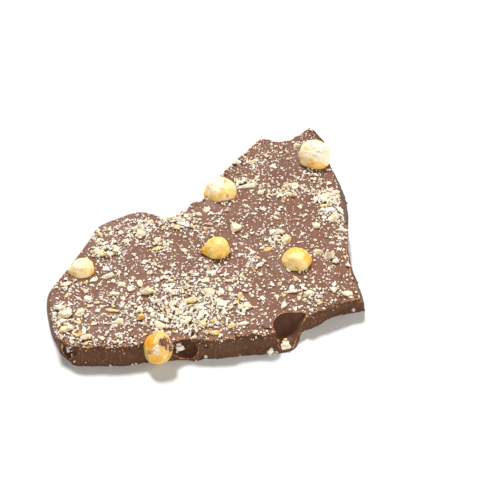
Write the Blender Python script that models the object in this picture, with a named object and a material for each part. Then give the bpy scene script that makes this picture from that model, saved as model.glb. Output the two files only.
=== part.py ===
"""A broken shard of milk-chocolate bark, set with whole blanched hazelnuts and strewn with chopped nut.

The shard lies flat on the face that was poured against the tray, its sprinkled side up. Its rim is a loop
of named stretches: some are clean breaks, one is the soft edge of the pour. Six hazelnuts sit in sockets of
their own. Two more at the front lost their nuts in the break. The larger crumbs are one with the slab.

Units are metres, +Z is up, and the origin is under the middle of the shard.
"""

import math
import random

import bmesh
import bpy
from mathutils import Euler, Matrix, Vector, noise

MM = 0.001

# The poured slab. It is thickest at the left, and thins towards the right.
THICKNESS = 8.6 * MM
TAPER = 0.010
SWELL_HEIGHT = 0.25 * MM
SWELL_LENGTH = 38 * MM
SWELL_SLICE = 3.1
TOP_GRID = 10 * MM
BLOCK_MARGIN = 12 * MM

# How finely the rim is followed.
RIM_STEP = 3.6 * MM
CURVE_STEPS = 12

# The heights, as shares of the thickness, where the wall has a row of points. The last is above the top.
WALL_ROWS = (0.0, 0.18, 0.52, 0.84, 1.04, 1.35)

# How ragged a break is, and how much of that the soft edge of the pour loses.
RAGGED_HEIGHT = 0.35 * MM
RAGGED_LENGTH = 3.5 * MM
RAGGED_STRETCH = 0.5
POUR_CALM = 0.6
POUR_BULGE = 0.6 * MM
ROUND_SPAN = 1.45

# The gap that keeps a nut a separate solid from the chocolate it sits in.
SOCKET_GAP = 0.3 * MM

# The middle of the finished part, in the millimetres that the lists below are in.
MIDDLE = (0.2, -1.4)

# The rim in stretches, anticlockwise seen from above. Each point is (x, y, foot x, foot y) in millimetres:
# where the rim runs, and how far from it the foot of the wall stands below.
FRONT_BREAK = [
    (-59.2, -66.0, 1.2, 0.6), (-56.0, -68.1, -0.3, -0.1), (-53.4, -70.1, -0.2, -0.5),
    (-51.0, -71.6, -0.4, -1.0), (-44.0, -71.9, 0.0, -1.2), (-33.0, -71.5, 0.0, -1.4),
    (-27.0, -70.6, 0.0, -1.6), (-24.0, -69.2, 0.0, -1.8), (-18.5, -68.6, 0.0, -1.6),
    (-13.5, -70.0, -0.2, -0.4),
]
LOST_NUT_BREAK = [
    (-13.5, -70.0, -0.2, -0.4), (-10.8, -67.3, 0.2, -2.4), (-6.5, -66.4, -0.4, -3.5),
    (-3.2, -67.2, -0.2, -3.2), (0.5, -67.4, 0.0, -1.4),
]
LONG_BREAK = [
    (0.5, -67.4, 0.0, -1.4), (6.0, -67.2, 0.0, -1.7), (16.0, -65.0, 0.1, -2.3), (21.5, -64.2, 0.2, -2.8),
    (26.2, -63.8, 0.3, -2.4),
]
CUP_BREAK = [
    (26.2, -63.8, 0.3, -2.4), (29.5, -61.6, 1.2, -4.3), (33.3, -59.0, 2.5, -4.8), (37.0, -56.2, 1.2, -2.8),
    (41.2, -53.0, -2.0, -1.4),
]
RIGHT_FRONT_BREAK = [
    (41.2, -53.0, -2.0, -1.4), (46.7, -50.7, -0.5, 0.3), (50.9, -48.6, -0.6, 1.4), (55.1, -46.1, 0.1, 1.6),
    (59.3, -44.3, 0.3, 0.8), (63.7, -42.9, 2.4, 1.0),
]
RIGHT_BREAK = [
    (63.7, -42.9, 2.4, 1.0), (62.9, -38.0, 3.2, 0.5), (61.2, -28.5, 3.5, 0.4), (60.3, -19.0, 2.6, 0.1),
    (60.3, -8.0, 0.9, 0.0), (60.6, 0.0, 0.6, 0.0), (60.2, 8.0, 1.8, 0.2), (59.3, 18.0, 3.5, 0.3),
    (58.1, 31.0, 4.0, 0.6), (55.4, 44.0, 3.6, 0.8), (52.0, 57.0, 3.7, 0.9), (49.7, 66.0, 4.4, 0.9),
    (49.0, 71.6, 5.6, 0.6),
]
BACK_BREAK = [
    (49.0, 71.6, 5.6, 0.6), (46.6, 72.9, 0.4, 0.8), (42.5, 67.8, -0.4, 0.6), (38.0, 64.2, -0.3, 0.6),
    (32.8, 62.0, 0.0, 0.6), (28.5, 63.4, 0.0, 0.6), (24.4, 64.0, -0.2, 0.6), (20.8, 59.9, -0.4, 0.4),
    (12.4, 47.8, -0.5, 0.3), (4.0, 33.5, -0.6, 0.3), (-2.3, 19.8, -0.4, 0.5), (-6.7, 17.5, -0.4, 0.5),
    (-9.4, 12.7, -0.4, 0.4), (-14.0, 8.8, -0.3, 0.5), (-19.5, 5.8, 0.0, 0.6),
]
POURED_EDGE = [
    (-19.5, 5.8, 0.0, 0.6), (-24.0, 9.0, -0.3, 1.2), (-31.0, 10.0, -0.3, 1.6), (-39.0, 6.0, -0.9, 1.5),
    (-46.3, 0.8, -1.4, 1.1), (-48.8, -5.5, -1.7, 0.4), (-52.5, -15.0, -1.6, 0.6), (-57.0, -25.5, -1.6, 0.7),
    (-62.2, -37.0, -1.7, 0.5), (-63.5, -42.5, -1.6, 0.0), (-62.7, -51.0, -0.8, 0.0),
    (-61.7, -56.5, -0.1, 0.2), (-60.4, -62.0, 1.4, 0.5), (-59.2, -66.0, 1.2, 0.6),
]
BREAKS = [FRONT_BREAK, LOST_NUT_BREAK, LONG_BREAK, CUP_BREAK, RIGHT_FRONT_BREAK, RIGHT_BREAK, BACK_BREAK]

# Whole hazelnuts: centre (x, y, z) and radius in millimetres, how long the nut is for its width, how far
# its tip stands out, the way the tip points (azimuth and elevation in degrees), and the seed of its facets.
HAZELNUTS = {
    "hazelnut_left_edge": ((-51.9, -26.9, 8.6), 5.6, 1.06, 0.08, (200, 25), 11),
    "hazelnut_pointed": ((4.6, -15.0, 10.3), 5.35, 1.08, 0.20, (190, -2), 22),
    "hazelnut_back_edge": ((5.4, 24.4, 8.1), 7.5, 1.05, 0.05, (330, -20), 33),
    "hazelnut_top_corner": ((48.6, 48.4, 10.2), 8.0, 1.05, 0.05, (60, -35), 44),
    "hazelnut_right": ((38.0, -21.1, 8.6), 6.25, 1.08, 0.06, (20, -10), 55),
    "hazelnut_front_break": ((-18.3, -69.8, 6.8), 6.0, 1.16, 0.03, (80, 48), 66),
}
NUT_DETAIL = 3
FACETS = 12
FACET_DEPTHS = (0.87, 1.0)
FACET_SHARPNESS = 16
FACET_TURN = 0.5
TIP_WIDTH = 0.34
BASE_FLAT = 0.06
BASE_WIDTH = 0.55

# What the break left open: centre and half sizes in millimetres.
OPEN_SOCKETS = {
    "lost_nut_socket": ((-7.5, -70.3, 4.9), (5.5, 6.8, 4.2)),
    "cup_socket": ((33.2, -58.5, 7.2), (5.9, 7.4, 6.9)),
    "cup_mouth": ((33.6, -63.4, 3.3), (4.1, 3.6, 3.0)),
    "cup_ear": ((38.0, -54.7, 8.4), (3.7, 2.7, 3.4)),
    "corner_pocket": ((-55.3, -69.9, 4.8), (2.9, 2.9, 3.5)),
    "small_pit": ((-4.8, -63.4, 8.9), (1.3, 1.4, 1.7)),
}
SOCKET_DETAIL = 3
SOCKET_UNEVEN = 0.05
SOCKET_SCALE = 1.7

# Chopped nut lies thick in drifts, over a thin even scatter: (x, y, half width, half depth) in millimetres,
# and how thick.
DRIFTS = [
    (-4, -47, 26, 29, 1.0), (-12, -44, 13, 22, 0.7), (8, -50, 13, 19, 0.7), (-42, -10, 8, 10, 1.0),
    (-27, -3, 8, 12, 1.0), (-12, 5, 9, 6, 0.9), (-42, -30, 8, 9, 0.5), (21, 42, 5, 9, 0.8),
    (33, 24, 9, 8, 0.9), (55, 18, 6, 15, 1.0), (29, -6, 5, 8, 0.7), (20, -22, 4, 7, 0.7),
    (-53, -59, 9, 14, 0.7), (-38, -52, 7, 14, 0.65), (43, -39, 15, 9, 0.3), (14, -4, 17, 16, 0.3),
    (-31, -39, 17, 13, 0.3),
]
EVEN_SCATTER = 0.12

# The largest chunks: (x, y, length, width) in millimetres and the turn in degrees.
CHUNKS = [
    (-23.1, 7.0, 4.7, 3.9, 10), (-29.0, -3.9, 5.6, 5.2, 30), (-21.5, -8.3, 3.4, 3.0, 60),
    (-41.9, -17.4, 7.7, 2.6, 22), (-21.2, -13.4, 5.6, 2.1, 20), (-58.0, -35.8, 3.9, 2.6, 15),
    (-57.0, -53.4, 6.5, 4.7, 10), (-50.2, -52.2, 5.2, 3.4, 40), (-56.0, -61.7, 4.3, 3.9, 70),
    (-49.9, -64.6, 3.9, 2.1, 25), (-34.7, -35.7, 3.4, 3.0, 50), (-37.2, -41.1, 3.9, 2.6, 160),
    (-37.8, -51.0, 6.9, 1.7, 170), (-21.0, -53.1, 3.4, 2.6, 90), (-17.9, -59.5, 5.2, 3.4, 150),
    (-6.3, -44.9, 6.0, 3.0, 15), (-7.2, -56.3, 5.2, 4.3, 20), (17.4, 28.4, 8.2, 2.6, 12),
    (23.6, 24.3, 3.0, 3.0, 0), (12.0, -0.2, 5.6, 5.2, 60), (36.2, 23.7, 4.3, 2.6, 20),
    (52.2, 21.9, 5.2, 3.4, 10), (51.9, 15.7, 5.2, 2.1, 5), (55.0, 6.9, 5.6, 3.9, 15),
    (47.3, 2.2, 3.9, 3.9, 45), (29.8, -2.6, 3.9, 2.6, 20), (34.0, -7.1, 4.3, 4.3, 110),
    (47.5, -14.6, 3.9, 3.0, 160), (52.0, -17.5, 3.9, 3.9, 60), (42.2, -40.3, 5.2, 3.4, 10),
    (52.7, -37.8, 3.4, 3.0, 70), (58.3, -40.2, 4.7, 3.0, 0), (1.4, -40.7, 5.2, 4.7, 0),
    (17.5, -47.5, 4.3, 3.9, 160), (5.6, -45.3, 3.9, 3.4, 20), (15.4, -57.8, 4.7, 2.1, 15),
    (3.8, -63.2, 5.6, 2.6, 8), (32.2, -47.4, 3.4, 2.6, 90), (40.6, 58.4, 3.0, 3.0, 40),
    (48.4, 37.3, 3.9, 2.6, 0), (-0.4, 11.7, 3.4, 2.6, 20), (26.2, -13.5, 4.3, 2.1, 20),
    (0.0, -33.0, 4.3, 2.6, 30), (-40.9, -30.4, 5.2, 3.0, 20), (-27.3, -35.0, 4.3, 3.0, 90),
    (-34.5, -57.2, 3.4, 3.4, 30), (-26.4, -50.3, 3.9, 2.6, 150), (10.0, -32.9, 3.9, 1.7, 10),
]
CHUNK_HEIGHT = 0.60
GRAIN_COUNT = 200
GRAIN_SIZES = (1.5, 3.2)
GRAIN_WIDTHS = (0.6, 0.95)
SMALL_GRAIN_BIAS = 1.5
GRAIN_JITTER = 0.20
SUNK_SHARE = 0.34
CLEAR_OF_NUT = 0.6 * MM
CLEAR_OF_RIM = 0.5 * MM
CLEAR_OF_CRUMB = 0.3 * MM
SEED = 7

# Finishes: name, colour and roughness.
MILK_CHOCOLATE = ("milk_chocolate", (0.30, 0.165, 0.115), 0.42)
BLANCHED_NUT = ("blanched_nut", (0.90, 0.66, 0.30), 0.38)


def clear_scene():
    for found in list(bpy.data.objects):
        bpy.data.objects.remove(found)


def material(name, colour, roughness):
    made = bpy.data.materials.new(name)
    made.use_nodes = True
    shader = made.node_tree.nodes["Principled BSDF"]
    shader.inputs["Base Color"].default_value = (*colour, 1.0)
    shader.inputs["Roughness"].default_value = roughness
    shader.inputs["Metallic"].default_value = 0.0
    return made


def object_from(bm, name, finish=None, collection=None):
    mesh = bpy.data.meshes.new(name)
    bm.to_mesh(mesh)
    bm.free()
    made = bpy.data.objects.new(name, mesh)
    (collection or bpy.context.scene.collection).objects.link(made)
    if finish:
        mesh.materials.append(finish)
    return made


def top_height(x, y):
    """The height of the poured top: a taper to the right and a slow swell."""
    swell = noise.noise(Vector((x / SWELL_LENGTH, y / SWELL_LENGTH, SWELL_SLICE)))
    return THICKNESS - TAPER * x + SWELL_HEIGHT * swell


def curve_point(points, at):
    """A point of the smooth curve through all the points of a stretch, at counting them from 0."""
    last = len(points) - 1
    i = min(int(at), last - 1)
    t = at - i
    p0, p1, p2, p3 = (points[min(max(i + k, 0), last)] for k in (-1, 0, 1, 2))
    curve = 2 * p1 + (p2 - p0) * t
    curve += (2 * p0 - 5 * p1 + 4 * p2 - p3) * t * t
    curve += (3 * p1 - p0 - 3 * p2 + p3) * t * t * t
    return curve / 2


def stretch_samples(stretch, step):
    """Evenly spaced points along one stretch, as vectors (x, y, foot x, foot y), without the last."""
    points = [Vector(p) * MM for p in stretch]
    fine = [curve_point(points, k / CURVE_STEPS) for k in range(CURVE_STEPS * (len(points) - 1) + 1)]
    lengths = [0.0]
    for a, b in zip(fine, fine[1:]):
        lengths.append(lengths[-1] + (b.xy - a.xy).length)
    count = max(2, round(lengths[-1] / step))
    samples = []
    k = 0
    for n in range(count):
        wanted = lengths[-1] * n / count
        while lengths[k + 1] < wanted:
            k += 1
        samples.append(fine[k].lerp(fine[k + 1], (wanted - lengths[k]) / (lengths[k + 1] - lengths[k])))
    return samples


def rim_samples(step):
    """All points round the rim, each with how round its wall is: 0 is a break, 1 the edge of the pour."""
    samples = [(point, 0.0) for stretch in BREAKS for point in stretch_samples(stretch, step)]
    return samples + [(point, 1.0) for point in stretch_samples(POURED_EDGE, step)]


def wall_point(samples, n, height):
    """The point of the wall at sample n and a share of the thickness: a break slopes, the pour bulges."""
    (x, y, foot_x, foot_y), roundness = samples[n]
    before, after = samples[n - 1][0], samples[(n + 1) % len(samples)][0]
    outward = Vector((after.y - before.y, before.x - after.x)).normalized()
    z = height * (top_height(x, y) if height < WALL_ROWS[-1] else THICKNESS)
    down = 1 - min(height, 1.0)
    rounded = math.sqrt(max(0.0, 1 - (1 - ROUND_SPAN * down) ** 2))
    reach = down * (1 - roundness) + rounded * roundness
    ragged = noise.noise(Vector((x, y, RAGGED_STRETCH * z)) / RAGGED_LENGTH)
    proud = RAGGED_HEIGHT * ragged * (1 - POUR_CALM * roundness) + POUR_BULGE * rounded * roundness
    return Vector((x + foot_x * reach + outward.x * proud, y + foot_y * reach + outward.y * proud, z))


def broken_blank(samples):
    """The outline's wall, from the tray to a little above the poured top, closed at both ends."""
    bm = bmesh.new()
    foot = face = bm.faces.new([bm.verts.new(wall_point(samples, n, 0.0)) for n in range(len(samples))])
    for height in WALL_ROWS[1:]:
        raised = bmesh.ops.extrude_face_region(bm, geom=[face])
        if face is not foot:
            bmesh.ops.delete(bm, geom=[face], context="FACES_ONLY")
        face = next(g for g in raised["geom"] if isinstance(g, bmesh.types.BMFace))
        for n, vert in enumerate(face.verts):
            vert.co = wall_point(samples, n, height)
    bmesh.ops.recalc_face_normals(bm, faces=bm.faces)
    return bm


def poured_block(low, high, step):
    """The pour before it was broken: flat below, gently uneven above, larger than the shard all round."""
    bm = bmesh.new()
    columns = math.ceil((high.x - low.x) / step)
    rows = math.ceil((high.y - low.y) / step)
    made = bmesh.ops.create_grid(bm, x_segments=columns, y_segments=rows, size=0.5)
    middle = (low + high) / 2
    bmesh.ops.scale(bm, vec=(high.x - low.x, high.y - low.y, 1), verts=made["verts"])
    bmesh.ops.translate(bm, vec=(middle.x, middle.y, 0), verts=made["verts"])
    raised = bmesh.ops.extrude_face_region(bm, geom=list(bm.faces))
    for vert in (g for g in raised["geom"] if isinstance(g, bmesh.types.BMVert)):
        vert.co.z = top_height(vert.co.x, vert.co.y)
    bmesh.ops.recalc_face_normals(bm, faces=bm.faces)
    return bm


def facet_planes(seed):
    """Directions and depths of the flats that a kernel's halves and skin leave on it."""
    rng = random.Random(seed)
    planes = []
    for k in range(FACETS):
        lift = 1 - 2 * (k + 0.5) / FACETS
        turn = k * math.pi * (3 - math.sqrt(5)) + rng.uniform(-FACET_TURN, FACET_TURN)
        level = math.sqrt(1 - lift * lift)
        direction = Vector((level * math.cos(turn), level * math.sin(turn), lift))
        planes.append((direction, rng.uniform(*FACET_DEPTHS)))
    return planes


def kernel_radius(direction, planes, tip_height):
    """The radius of a hazelnut of radius 1 in a direction, with its tip at +Z."""
    total = 1.0
    for normal, depth in planes:
        total += (max(0.0, direction.dot(normal)) / depth) ** FACET_SHARPNESS
    radius = total ** (-1 / FACET_SHARPNESS)
    off_tip = math.acos(max(-1.0, min(1.0, direction.z)))
    tip = tip_height * math.exp(-((off_tip / TIP_WIDTH) ** 2))
    base = BASE_FLAT * math.exp(-(((math.pi - off_tip) / BASE_WIDTH) ** 2))
    return radius * (1 + tip - base)


def hazelnut(centre, radius, length, tip_height, tip, seed, detail, grown=0.0):
    """A bmesh kernel in its place, or the socket that it needs if it is grown a little."""
    bm = bmesh.new()
    made = bmesh.ops.create_icosphere(bm, subdivisions=detail, radius=1.0)
    planes = facet_planes(seed)
    azimuth, elevation = (math.radians(a) for a in tip)
    level = math.cos(elevation)
    pointing = Vector((level * math.cos(azimuth), level * math.sin(azimuth), math.sin(elevation)))
    turn = pointing.to_track_quat("Z", "Y")
    for vert in made["verts"]:
        direction = vert.co.normalized()
        at = direction * kernel_radius(direction, planes, tip_height) * radius * MM
        at.z *= length
        at += direction * grown
        vert.co = turn @ at + Vector(centre) * MM
    return bm


def socket(centre, half_sizes, detail):
    """The hollow that a lost nut or a chip leaves, a little uneven."""
    bm = bmesh.new()
    made = bmesh.ops.create_icosphere(bm, subdivisions=detail, radius=1.0)
    for vert in made["verts"]:
        uneven = 1 + SOCKET_UNEVEN * noise.noise(vert.co * SOCKET_SCALE + Vector(centre))
        vert.co = Vector(c + s * v * uneven for c, s, v in zip(centre, half_sizes, vert.co)) * MM
    return bm


def inside_rim(x, y, ring):
    """Whether a point is inside the rim, by counting the sides to its right, and how far it is from it."""
    crossings = 0
    nearest = math.inf
    for a, b in zip(ring, ring[1:] + ring[:1]):
        if (a[1] > y) != (b[1] > y) and x < a[0] + (y - a[1]) * (b[0] - a[0]) / (b[1] - a[1]):
            crossings += 1
        side = Vector((b[0] - a[0], b[1] - a[1]))
        along = max(0.0, min(1.0, Vector((x - a[0], y - a[1])).dot(side) / side.length_squared))
        nearest = min(nearest, math.hypot(x - a[0] - along * side.x, y - a[1] - along * side.y))
    return crossings % 2 == 1, nearest


def crumb_density(x, y):
    """How thick the chopped nut lies at a place, from 0 to about 1.5, with x and y in millimetres."""
    total = EVEN_SCATTER
    for middle_x, middle_y, half_width, half_depth, weight in DRIFTS:
        across, along = (x - middle_x) / half_width, (y - middle_y) / half_depth
        total += weight * math.exp(-(across**2) - along**2)
    return total


def clear_of_hollows(x, y, reach):
    """Whether a crumb of that reach, in metres, lies clear of the nuts and of the open sockets."""
    for centre, radius, length, _, _, _ in HAZELNUTS.values():
        if math.hypot(x - centre[0] * MM, y - centre[1] * MM) < radius * length * MM + reach + CLEAR_OF_NUT:
            return False
    for centre, half in OPEN_SOCKETS.values():
        if math.hypot(x - centre[0] * MM, y - centre[1] * MM) < max(half[:2]) * MM + reach:
            return False
    return True


def crumb_places(ring):
    """Every crumb as (x, y, length, width, turn) in metres and radians: the chunks, then the grains."""
    rng = random.Random(SEED)
    placed = []
    low = Vector((min(p[0] for p in ring), min(p[1] for p in ring)))
    high = Vector((max(p[0] for p in ring), max(p[1] for p in ring)))

    def fits(x, y, reach):
        inside, distance = inside_rim(x, y, ring)
        if not inside or distance < reach + CLEAR_OF_RIM or not clear_of_hollows(x, y, reach):
            return False
        return all(math.hypot(x - p[0], y - p[1]) > reach + p[2] / 2 + CLEAR_OF_CRUMB for p in placed)

    for x, y, length, width, turn in CHUNKS:
        if fits(x * MM, y * MM, 0.5 * max(length, width) * MM):
            placed.append((x * MM, y * MM, length * MM, width * MM, math.radians(turn)))
    wanted = len(placed) + GRAIN_COUNT
    while len(placed) < wanted:
        x, y = rng.uniform(low.x, high.x), rng.uniform(low.y, high.y)
        size = GRAIN_SIZES[0] + (GRAIN_SIZES[1] - GRAIN_SIZES[0]) * rng.random() ** SMALL_GRAIN_BIAS
        turn, narrow = rng.uniform(0, math.pi), rng.uniform(*GRAIN_WIDTHS)
        keep = rng.random() < crumb_density(x / MM, y / MM)
        if keep and fits(x, y, 0.5 * size * MM):
            placed.append((x, y, size * MM, size * narrow * MM, turn))
    return placed


def crumb(x, y, length, width, turn, rng):
    """One angular crumb, sunk into the chocolate it fell on: a knobbly chunk, or a grain with six sides."""
    bm = bmesh.new()
    if length > GRAIN_SIZES[1] * MM:
        verts = bmesh.ops.create_icosphere(bm, subdivisions=1, radius=1.0)["verts"]
    else:
        verts = bmesh.ops.create_cube(bm)["verts"]
    height = CHUNK_HEIGHT * min(length, width)
    tumble = Euler((rng.uniform(0, math.pi), rng.uniform(0, math.pi), rng.uniform(0, math.pi))).to_matrix()
    for vert in verts:
        vert.co = tumble @ vert.co.normalized() * 0.5 * (1 + rng.uniform(-GRAIN_JITTER, GRAIN_JITTER))
    bmesh.ops.scale(bm, vec=(length, width, height), verts=verts)
    bmesh.ops.rotate(bm, matrix=Euler((0, 0, turn)).to_matrix(), verts=verts)
    lift = top_height(x, y) + height * (0.5 - SUNK_SHARE)
    bmesh.ops.translate(bm, vec=(x, y, lift), verts=verts)
    return bm


def apply_boolean(body, operation, collection):
    """Joins or cuts the body with all of a collection, then removes the collection and its objects."""
    made = body.modifiers.new(operation.lower(), "BOOLEAN")
    made.operation = operation
    made.operand_type = "COLLECTION"
    made.collection = collection
    made.solver = "EXACT"
    bpy.context.view_layer.update()
    graph = bpy.context.evaluated_depsgraph_get()
    result = bpy.data.meshes.new_from_object(body.evaluated_get(graph))
    body.modifiers.clear()
    old, body.data = body.data, result
    name = old.name
    bpy.data.meshes.remove(old)
    result.name = name
    for tool in list(collection.objects):
        bpy.data.objects.remove(tool)
    bpy.data.collections.remove(collection)


def tools_collection(name):
    made = bpy.data.collections.new(name)
    bpy.context.scene.collection.children.link(made)
    return made


def make_slab(chocolate):
    """The broken slab: its walls cut from the pour, its sockets hollowed, its crumbs fused on."""
    samples = rim_samples(RIM_STEP)
    slab = object_from(broken_blank(samples), "bark_slab", chocolate)
    ring = [(point.x, point.y) for point, roundness in samples]
    margin = Vector((BLOCK_MARGIN, BLOCK_MARGIN))
    low = Vector((min(p[0] for p in ring), min(p[1] for p in ring))) - margin
    high = Vector((max(p[0] for p in ring), max(p[1] for p in ring))) + margin

    pour = tools_collection("pour")
    object_from(poured_block(low, high, TOP_GRID), "pour_block", collection=pour)
    apply_boolean(slab, "INTERSECT", pour)

    hollows = tools_collection("hollows")
    for name, sizes in HAZELNUTS.items():
        grown = hazelnut(*sizes, NUT_DETAIL, grown=SOCKET_GAP)
        object_from(grown, name + "_socket", collection=hollows)
    for name, (centre, half_sizes) in OPEN_SOCKETS.items():
        object_from(socket(centre, half_sizes, SOCKET_DETAIL), name, collection=hollows)
    apply_boolean(slab, "DIFFERENCE", hollows)

    crumbs = tools_collection("crumbs")
    rng = random.Random(SEED + 1)
    places = crumb_places(ring)
    for n, place in enumerate(places):
        object_from(crumb(*place, rng), f"crumb_{n}", collection=crumbs)
    apply_boolean(slab, "UNION", crumbs)
    return slab


def make_hazelnuts(finish):
    nuts = [object_from(hazelnut(*sizes, NUT_DETAIL), name, finish) for name, sizes in HAZELNUTS.items()]
    for nut in nuts:
        nut.data.shade_smooth()
    return nuts


def main():
    clear_scene()
    slab = make_slab(material(*MILK_CHOCOLATE))
    nuts = make_hazelnuts(material(*BLANCHED_NUT))
    to_origin = Matrix.Translation((-MIDDLE[0] * MM, -MIDDLE[1] * MM, 0))
    for piece in [slab, *nuts]:
        piece.data.transform(to_origin)


main()
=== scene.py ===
# %% [markdown]
# A shard of milk-chocolate bark. The maker poured chocolate on a tray, pressed whole blanched hazelnuts
# into it, strewed it with chopped nut and broke it by hand once it had set. This lesson dresses the plain
# shard: a finer slab with real breaks, wrinkled nuts, and some six thousand crumbs. Each step is a cell.

import math
import random

import bmesh
import bpy
import numpy as np
from mathutils import Euler, Matrix, Vector, kdtree, noise
from mathutils.bvhtree import BVHTree


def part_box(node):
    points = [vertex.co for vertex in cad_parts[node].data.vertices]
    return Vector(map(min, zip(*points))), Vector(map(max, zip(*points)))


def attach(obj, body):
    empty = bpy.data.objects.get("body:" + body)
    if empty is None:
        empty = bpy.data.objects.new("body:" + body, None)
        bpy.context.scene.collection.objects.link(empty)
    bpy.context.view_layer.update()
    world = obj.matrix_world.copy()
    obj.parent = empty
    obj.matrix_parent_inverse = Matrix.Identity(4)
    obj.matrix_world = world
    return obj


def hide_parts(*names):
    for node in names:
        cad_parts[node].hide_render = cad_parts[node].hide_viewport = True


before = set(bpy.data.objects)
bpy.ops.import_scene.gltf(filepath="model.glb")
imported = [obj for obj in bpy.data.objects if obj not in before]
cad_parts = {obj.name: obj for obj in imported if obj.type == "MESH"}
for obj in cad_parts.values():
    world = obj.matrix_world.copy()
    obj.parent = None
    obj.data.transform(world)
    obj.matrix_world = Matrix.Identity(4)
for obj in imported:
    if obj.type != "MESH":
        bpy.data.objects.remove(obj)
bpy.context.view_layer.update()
print("solids:", sorted(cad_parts))

# %% [markdown]
# Sizes first. Everything below is written in millimetres and multiplied by MM, because Blender works in
# metres. The lists are in the maker's own frame, whose middle moves to the origin at the very end.

# %% Sizes of the slab
MM = 0.001
MIDDLE = (0.2, -1.4)
THICKNESS = 8.6 * MM
TAPER = 0.010
SWELL_HEIGHT = 0.25 * MM
SWELL_LENGTH = 38 * MM
SWELL_SLICE = 3.1
TO_ORIGIN = Matrix.Translation((-MIDDLE[0] * MM, -MIDDLE[1] * MM, 0))
slab_low, slab_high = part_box("bark_slab")
print("slab, mm:", [round(v / MM, 1) for v in slab_high - slab_low])

# %% [markdown]
# The camera stands in front of the shard and looks down on it, far off and with a long lens, so that the
# far corner is hardly smaller than the near one. It aims by turning its own -Z axis to the shard.

# %% Camera
CAMERA_PLACE = Vector((14.0, -432.57, 392.63)) * MM
CAMERA_AIM = Vector((14.0, -6.5, 9.0)) * MM
LENS = 100

camera = bpy.data.objects.new("camera", bpy.data.cameras.new("camera"))
bpy.context.scene.collection.objects.link(camera)
camera.location = CAMERA_PLACE
camera.rotation_mode = "QUATERNION"
camera.rotation_quaternion = (CAMERA_AIM - CAMERA_PLACE).to_track_quat("-Z", "Y")
camera.data.lens = LENS
camera.data.sensor_width = 36
camera.data.clip_start = 0.01
bpy.context.scene.camera = camera
print("camera at", [round(v, 3) for v in camera.location])

# %% [markdown]
# Food is often shown on white, with one broad light behind and above it. That light rakes over the top,
# leaves the near breaks dark, and lays a soft shadow in front. A sun lamp with a wide angle does the same
# as a large soft box, and lights the floor evenly out to the edge of the picture. Three weaker and wider
# ones stand for the white ceiling, for a reflector at the right, and for one beside the camera, which
# keeps the near sides of the nuts bright. All four are a little warm, so the floor is a pale grey with
# some blue in it, and just comes out white.

# %% Floor and light
FLOOR_REACH = 3.0
FLOOR_COLOUR = (0.73, 0.745, 0.77, 1.0)
KEY_COLOUR = (1.0, 0.98, 0.945)
WEAK_COLOUR = (1.0, 0.95, 0.87)
# Each lamp: strength, how wide it looks in degrees, where it stands, and its colour.
LAMPS = {
    "key_light": (4.45, 13, (-0.24, 0.78, 1.0), KEY_COLOUR),
    "ceiling_light": (0.15, 110, (0.0, 0.25, 1.0), WEAK_COLOUR),
    "side_light": (2.0, 50, (1.0, 0.15, 0.24), WEAK_COLOUR),
    "front_light": (2.25, 70, (0.1, -0.9, 0.32), WEAK_COLOUR),
}
FILL = 0.08

def new_finish(name, **constants):
    """A material, its node tree and its shader, with the inputs given set to constants."""
    made = bpy.data.materials.new(name)
    made.use_nodes = True
    shader = made.node_tree.nodes["Principled BSDF"]
    for label, value in constants.items():
        shader.inputs[label.replace("_", " ")].default_value = value
    return made, made.node_tree, shader

def object_of(mesh, name, finish):
    mesh.materials.append(finish)
    made = bpy.data.objects.new(name, mesh)
    bpy.context.scene.collection.objects.link(made)
    return made

def object_from(bm, name, finish):
    """An object made of a bmesh, which is used up."""
    mesh = bpy.data.meshes.new(name)
    bm.to_mesh(mesh)
    bm.free()
    return object_of(mesh, name, finish)

def make_floor():
    bm = bmesh.new()
    bmesh.ops.create_grid(bm, x_segments=1, y_segments=1, size=FLOOR_REACH)
    return object_from(bm, "floor", new_finish("floor_white", Base_Color=FLOOR_COLOUR, Roughness=0.9)[0])

def make_light():
    for name, (energy, width, place, colour) in LAMPS.items():
        lamp = bpy.data.objects.new(name, bpy.data.lights.new(name, "SUN"))
        lamp.data.energy = energy
        lamp.data.angle = math.radians(width)
        lamp.data.color = colour
        lamp.rotation_mode = "QUATERNION"
        lamp.rotation_quaternion = Vector(place).to_track_quat("Z", "Y")
        bpy.context.scene.collection.objects.link(lamp)
    world = bpy.data.worlds.new("soft_fill")
    world.use_nodes = True
    world.node_tree.nodes["Background"].inputs["Color"].default_value = (*WEAK_COLOUR, 1.0)
    world.node_tree.nodes["Background"].inputs["Strength"].default_value = FILL
    bpy.context.scene.world = world
    bpy.context.scene.view_settings.view_transform = "Standard"

make_floor()
make_light()

# %% [markdown]
# Finishes are node trees. Small helpers keep them readable: they add a node and wire or set its inputs by
# name, mix two colours, stretch one range of values to another, add values up, or read noise.

# %% Helpers for node trees
# A Mix node has one socket of each name for every data type. These are the places of the colour ones.
MIX_FIRST, MIX_SECOND, MIX_RESULT = 6, 7, 2

def add(tree, kind, inputs=None, **settings):
    """Adds a node, makes its settings, and wires or sets its inputs."""
    node = tree.nodes.new(kind)
    for name, value in settings.items():
        setattr(node, name, value)
    for name, value in (inputs or {}).items():
        wire(tree, value, node.inputs[name])
    return node

def wire(tree, value, socket):
    if isinstance(value, bpy.types.NodeSocket):
        tree.links.new(value, socket)
    else:
        socket.default_value = value

def mixed(tree, factor, first, second):
    node = add(tree, "ShaderNodeMix", {"Factor": factor}, data_type="RGBA")
    for colour, place in ((first, MIX_FIRST), (second, MIX_SECOND)):
        wire(tree, colour if isinstance(colour, bpy.types.NodeSocket) else (*colour, 1.0), node.inputs[place])
    return node.outputs[MIX_RESULT]

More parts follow.
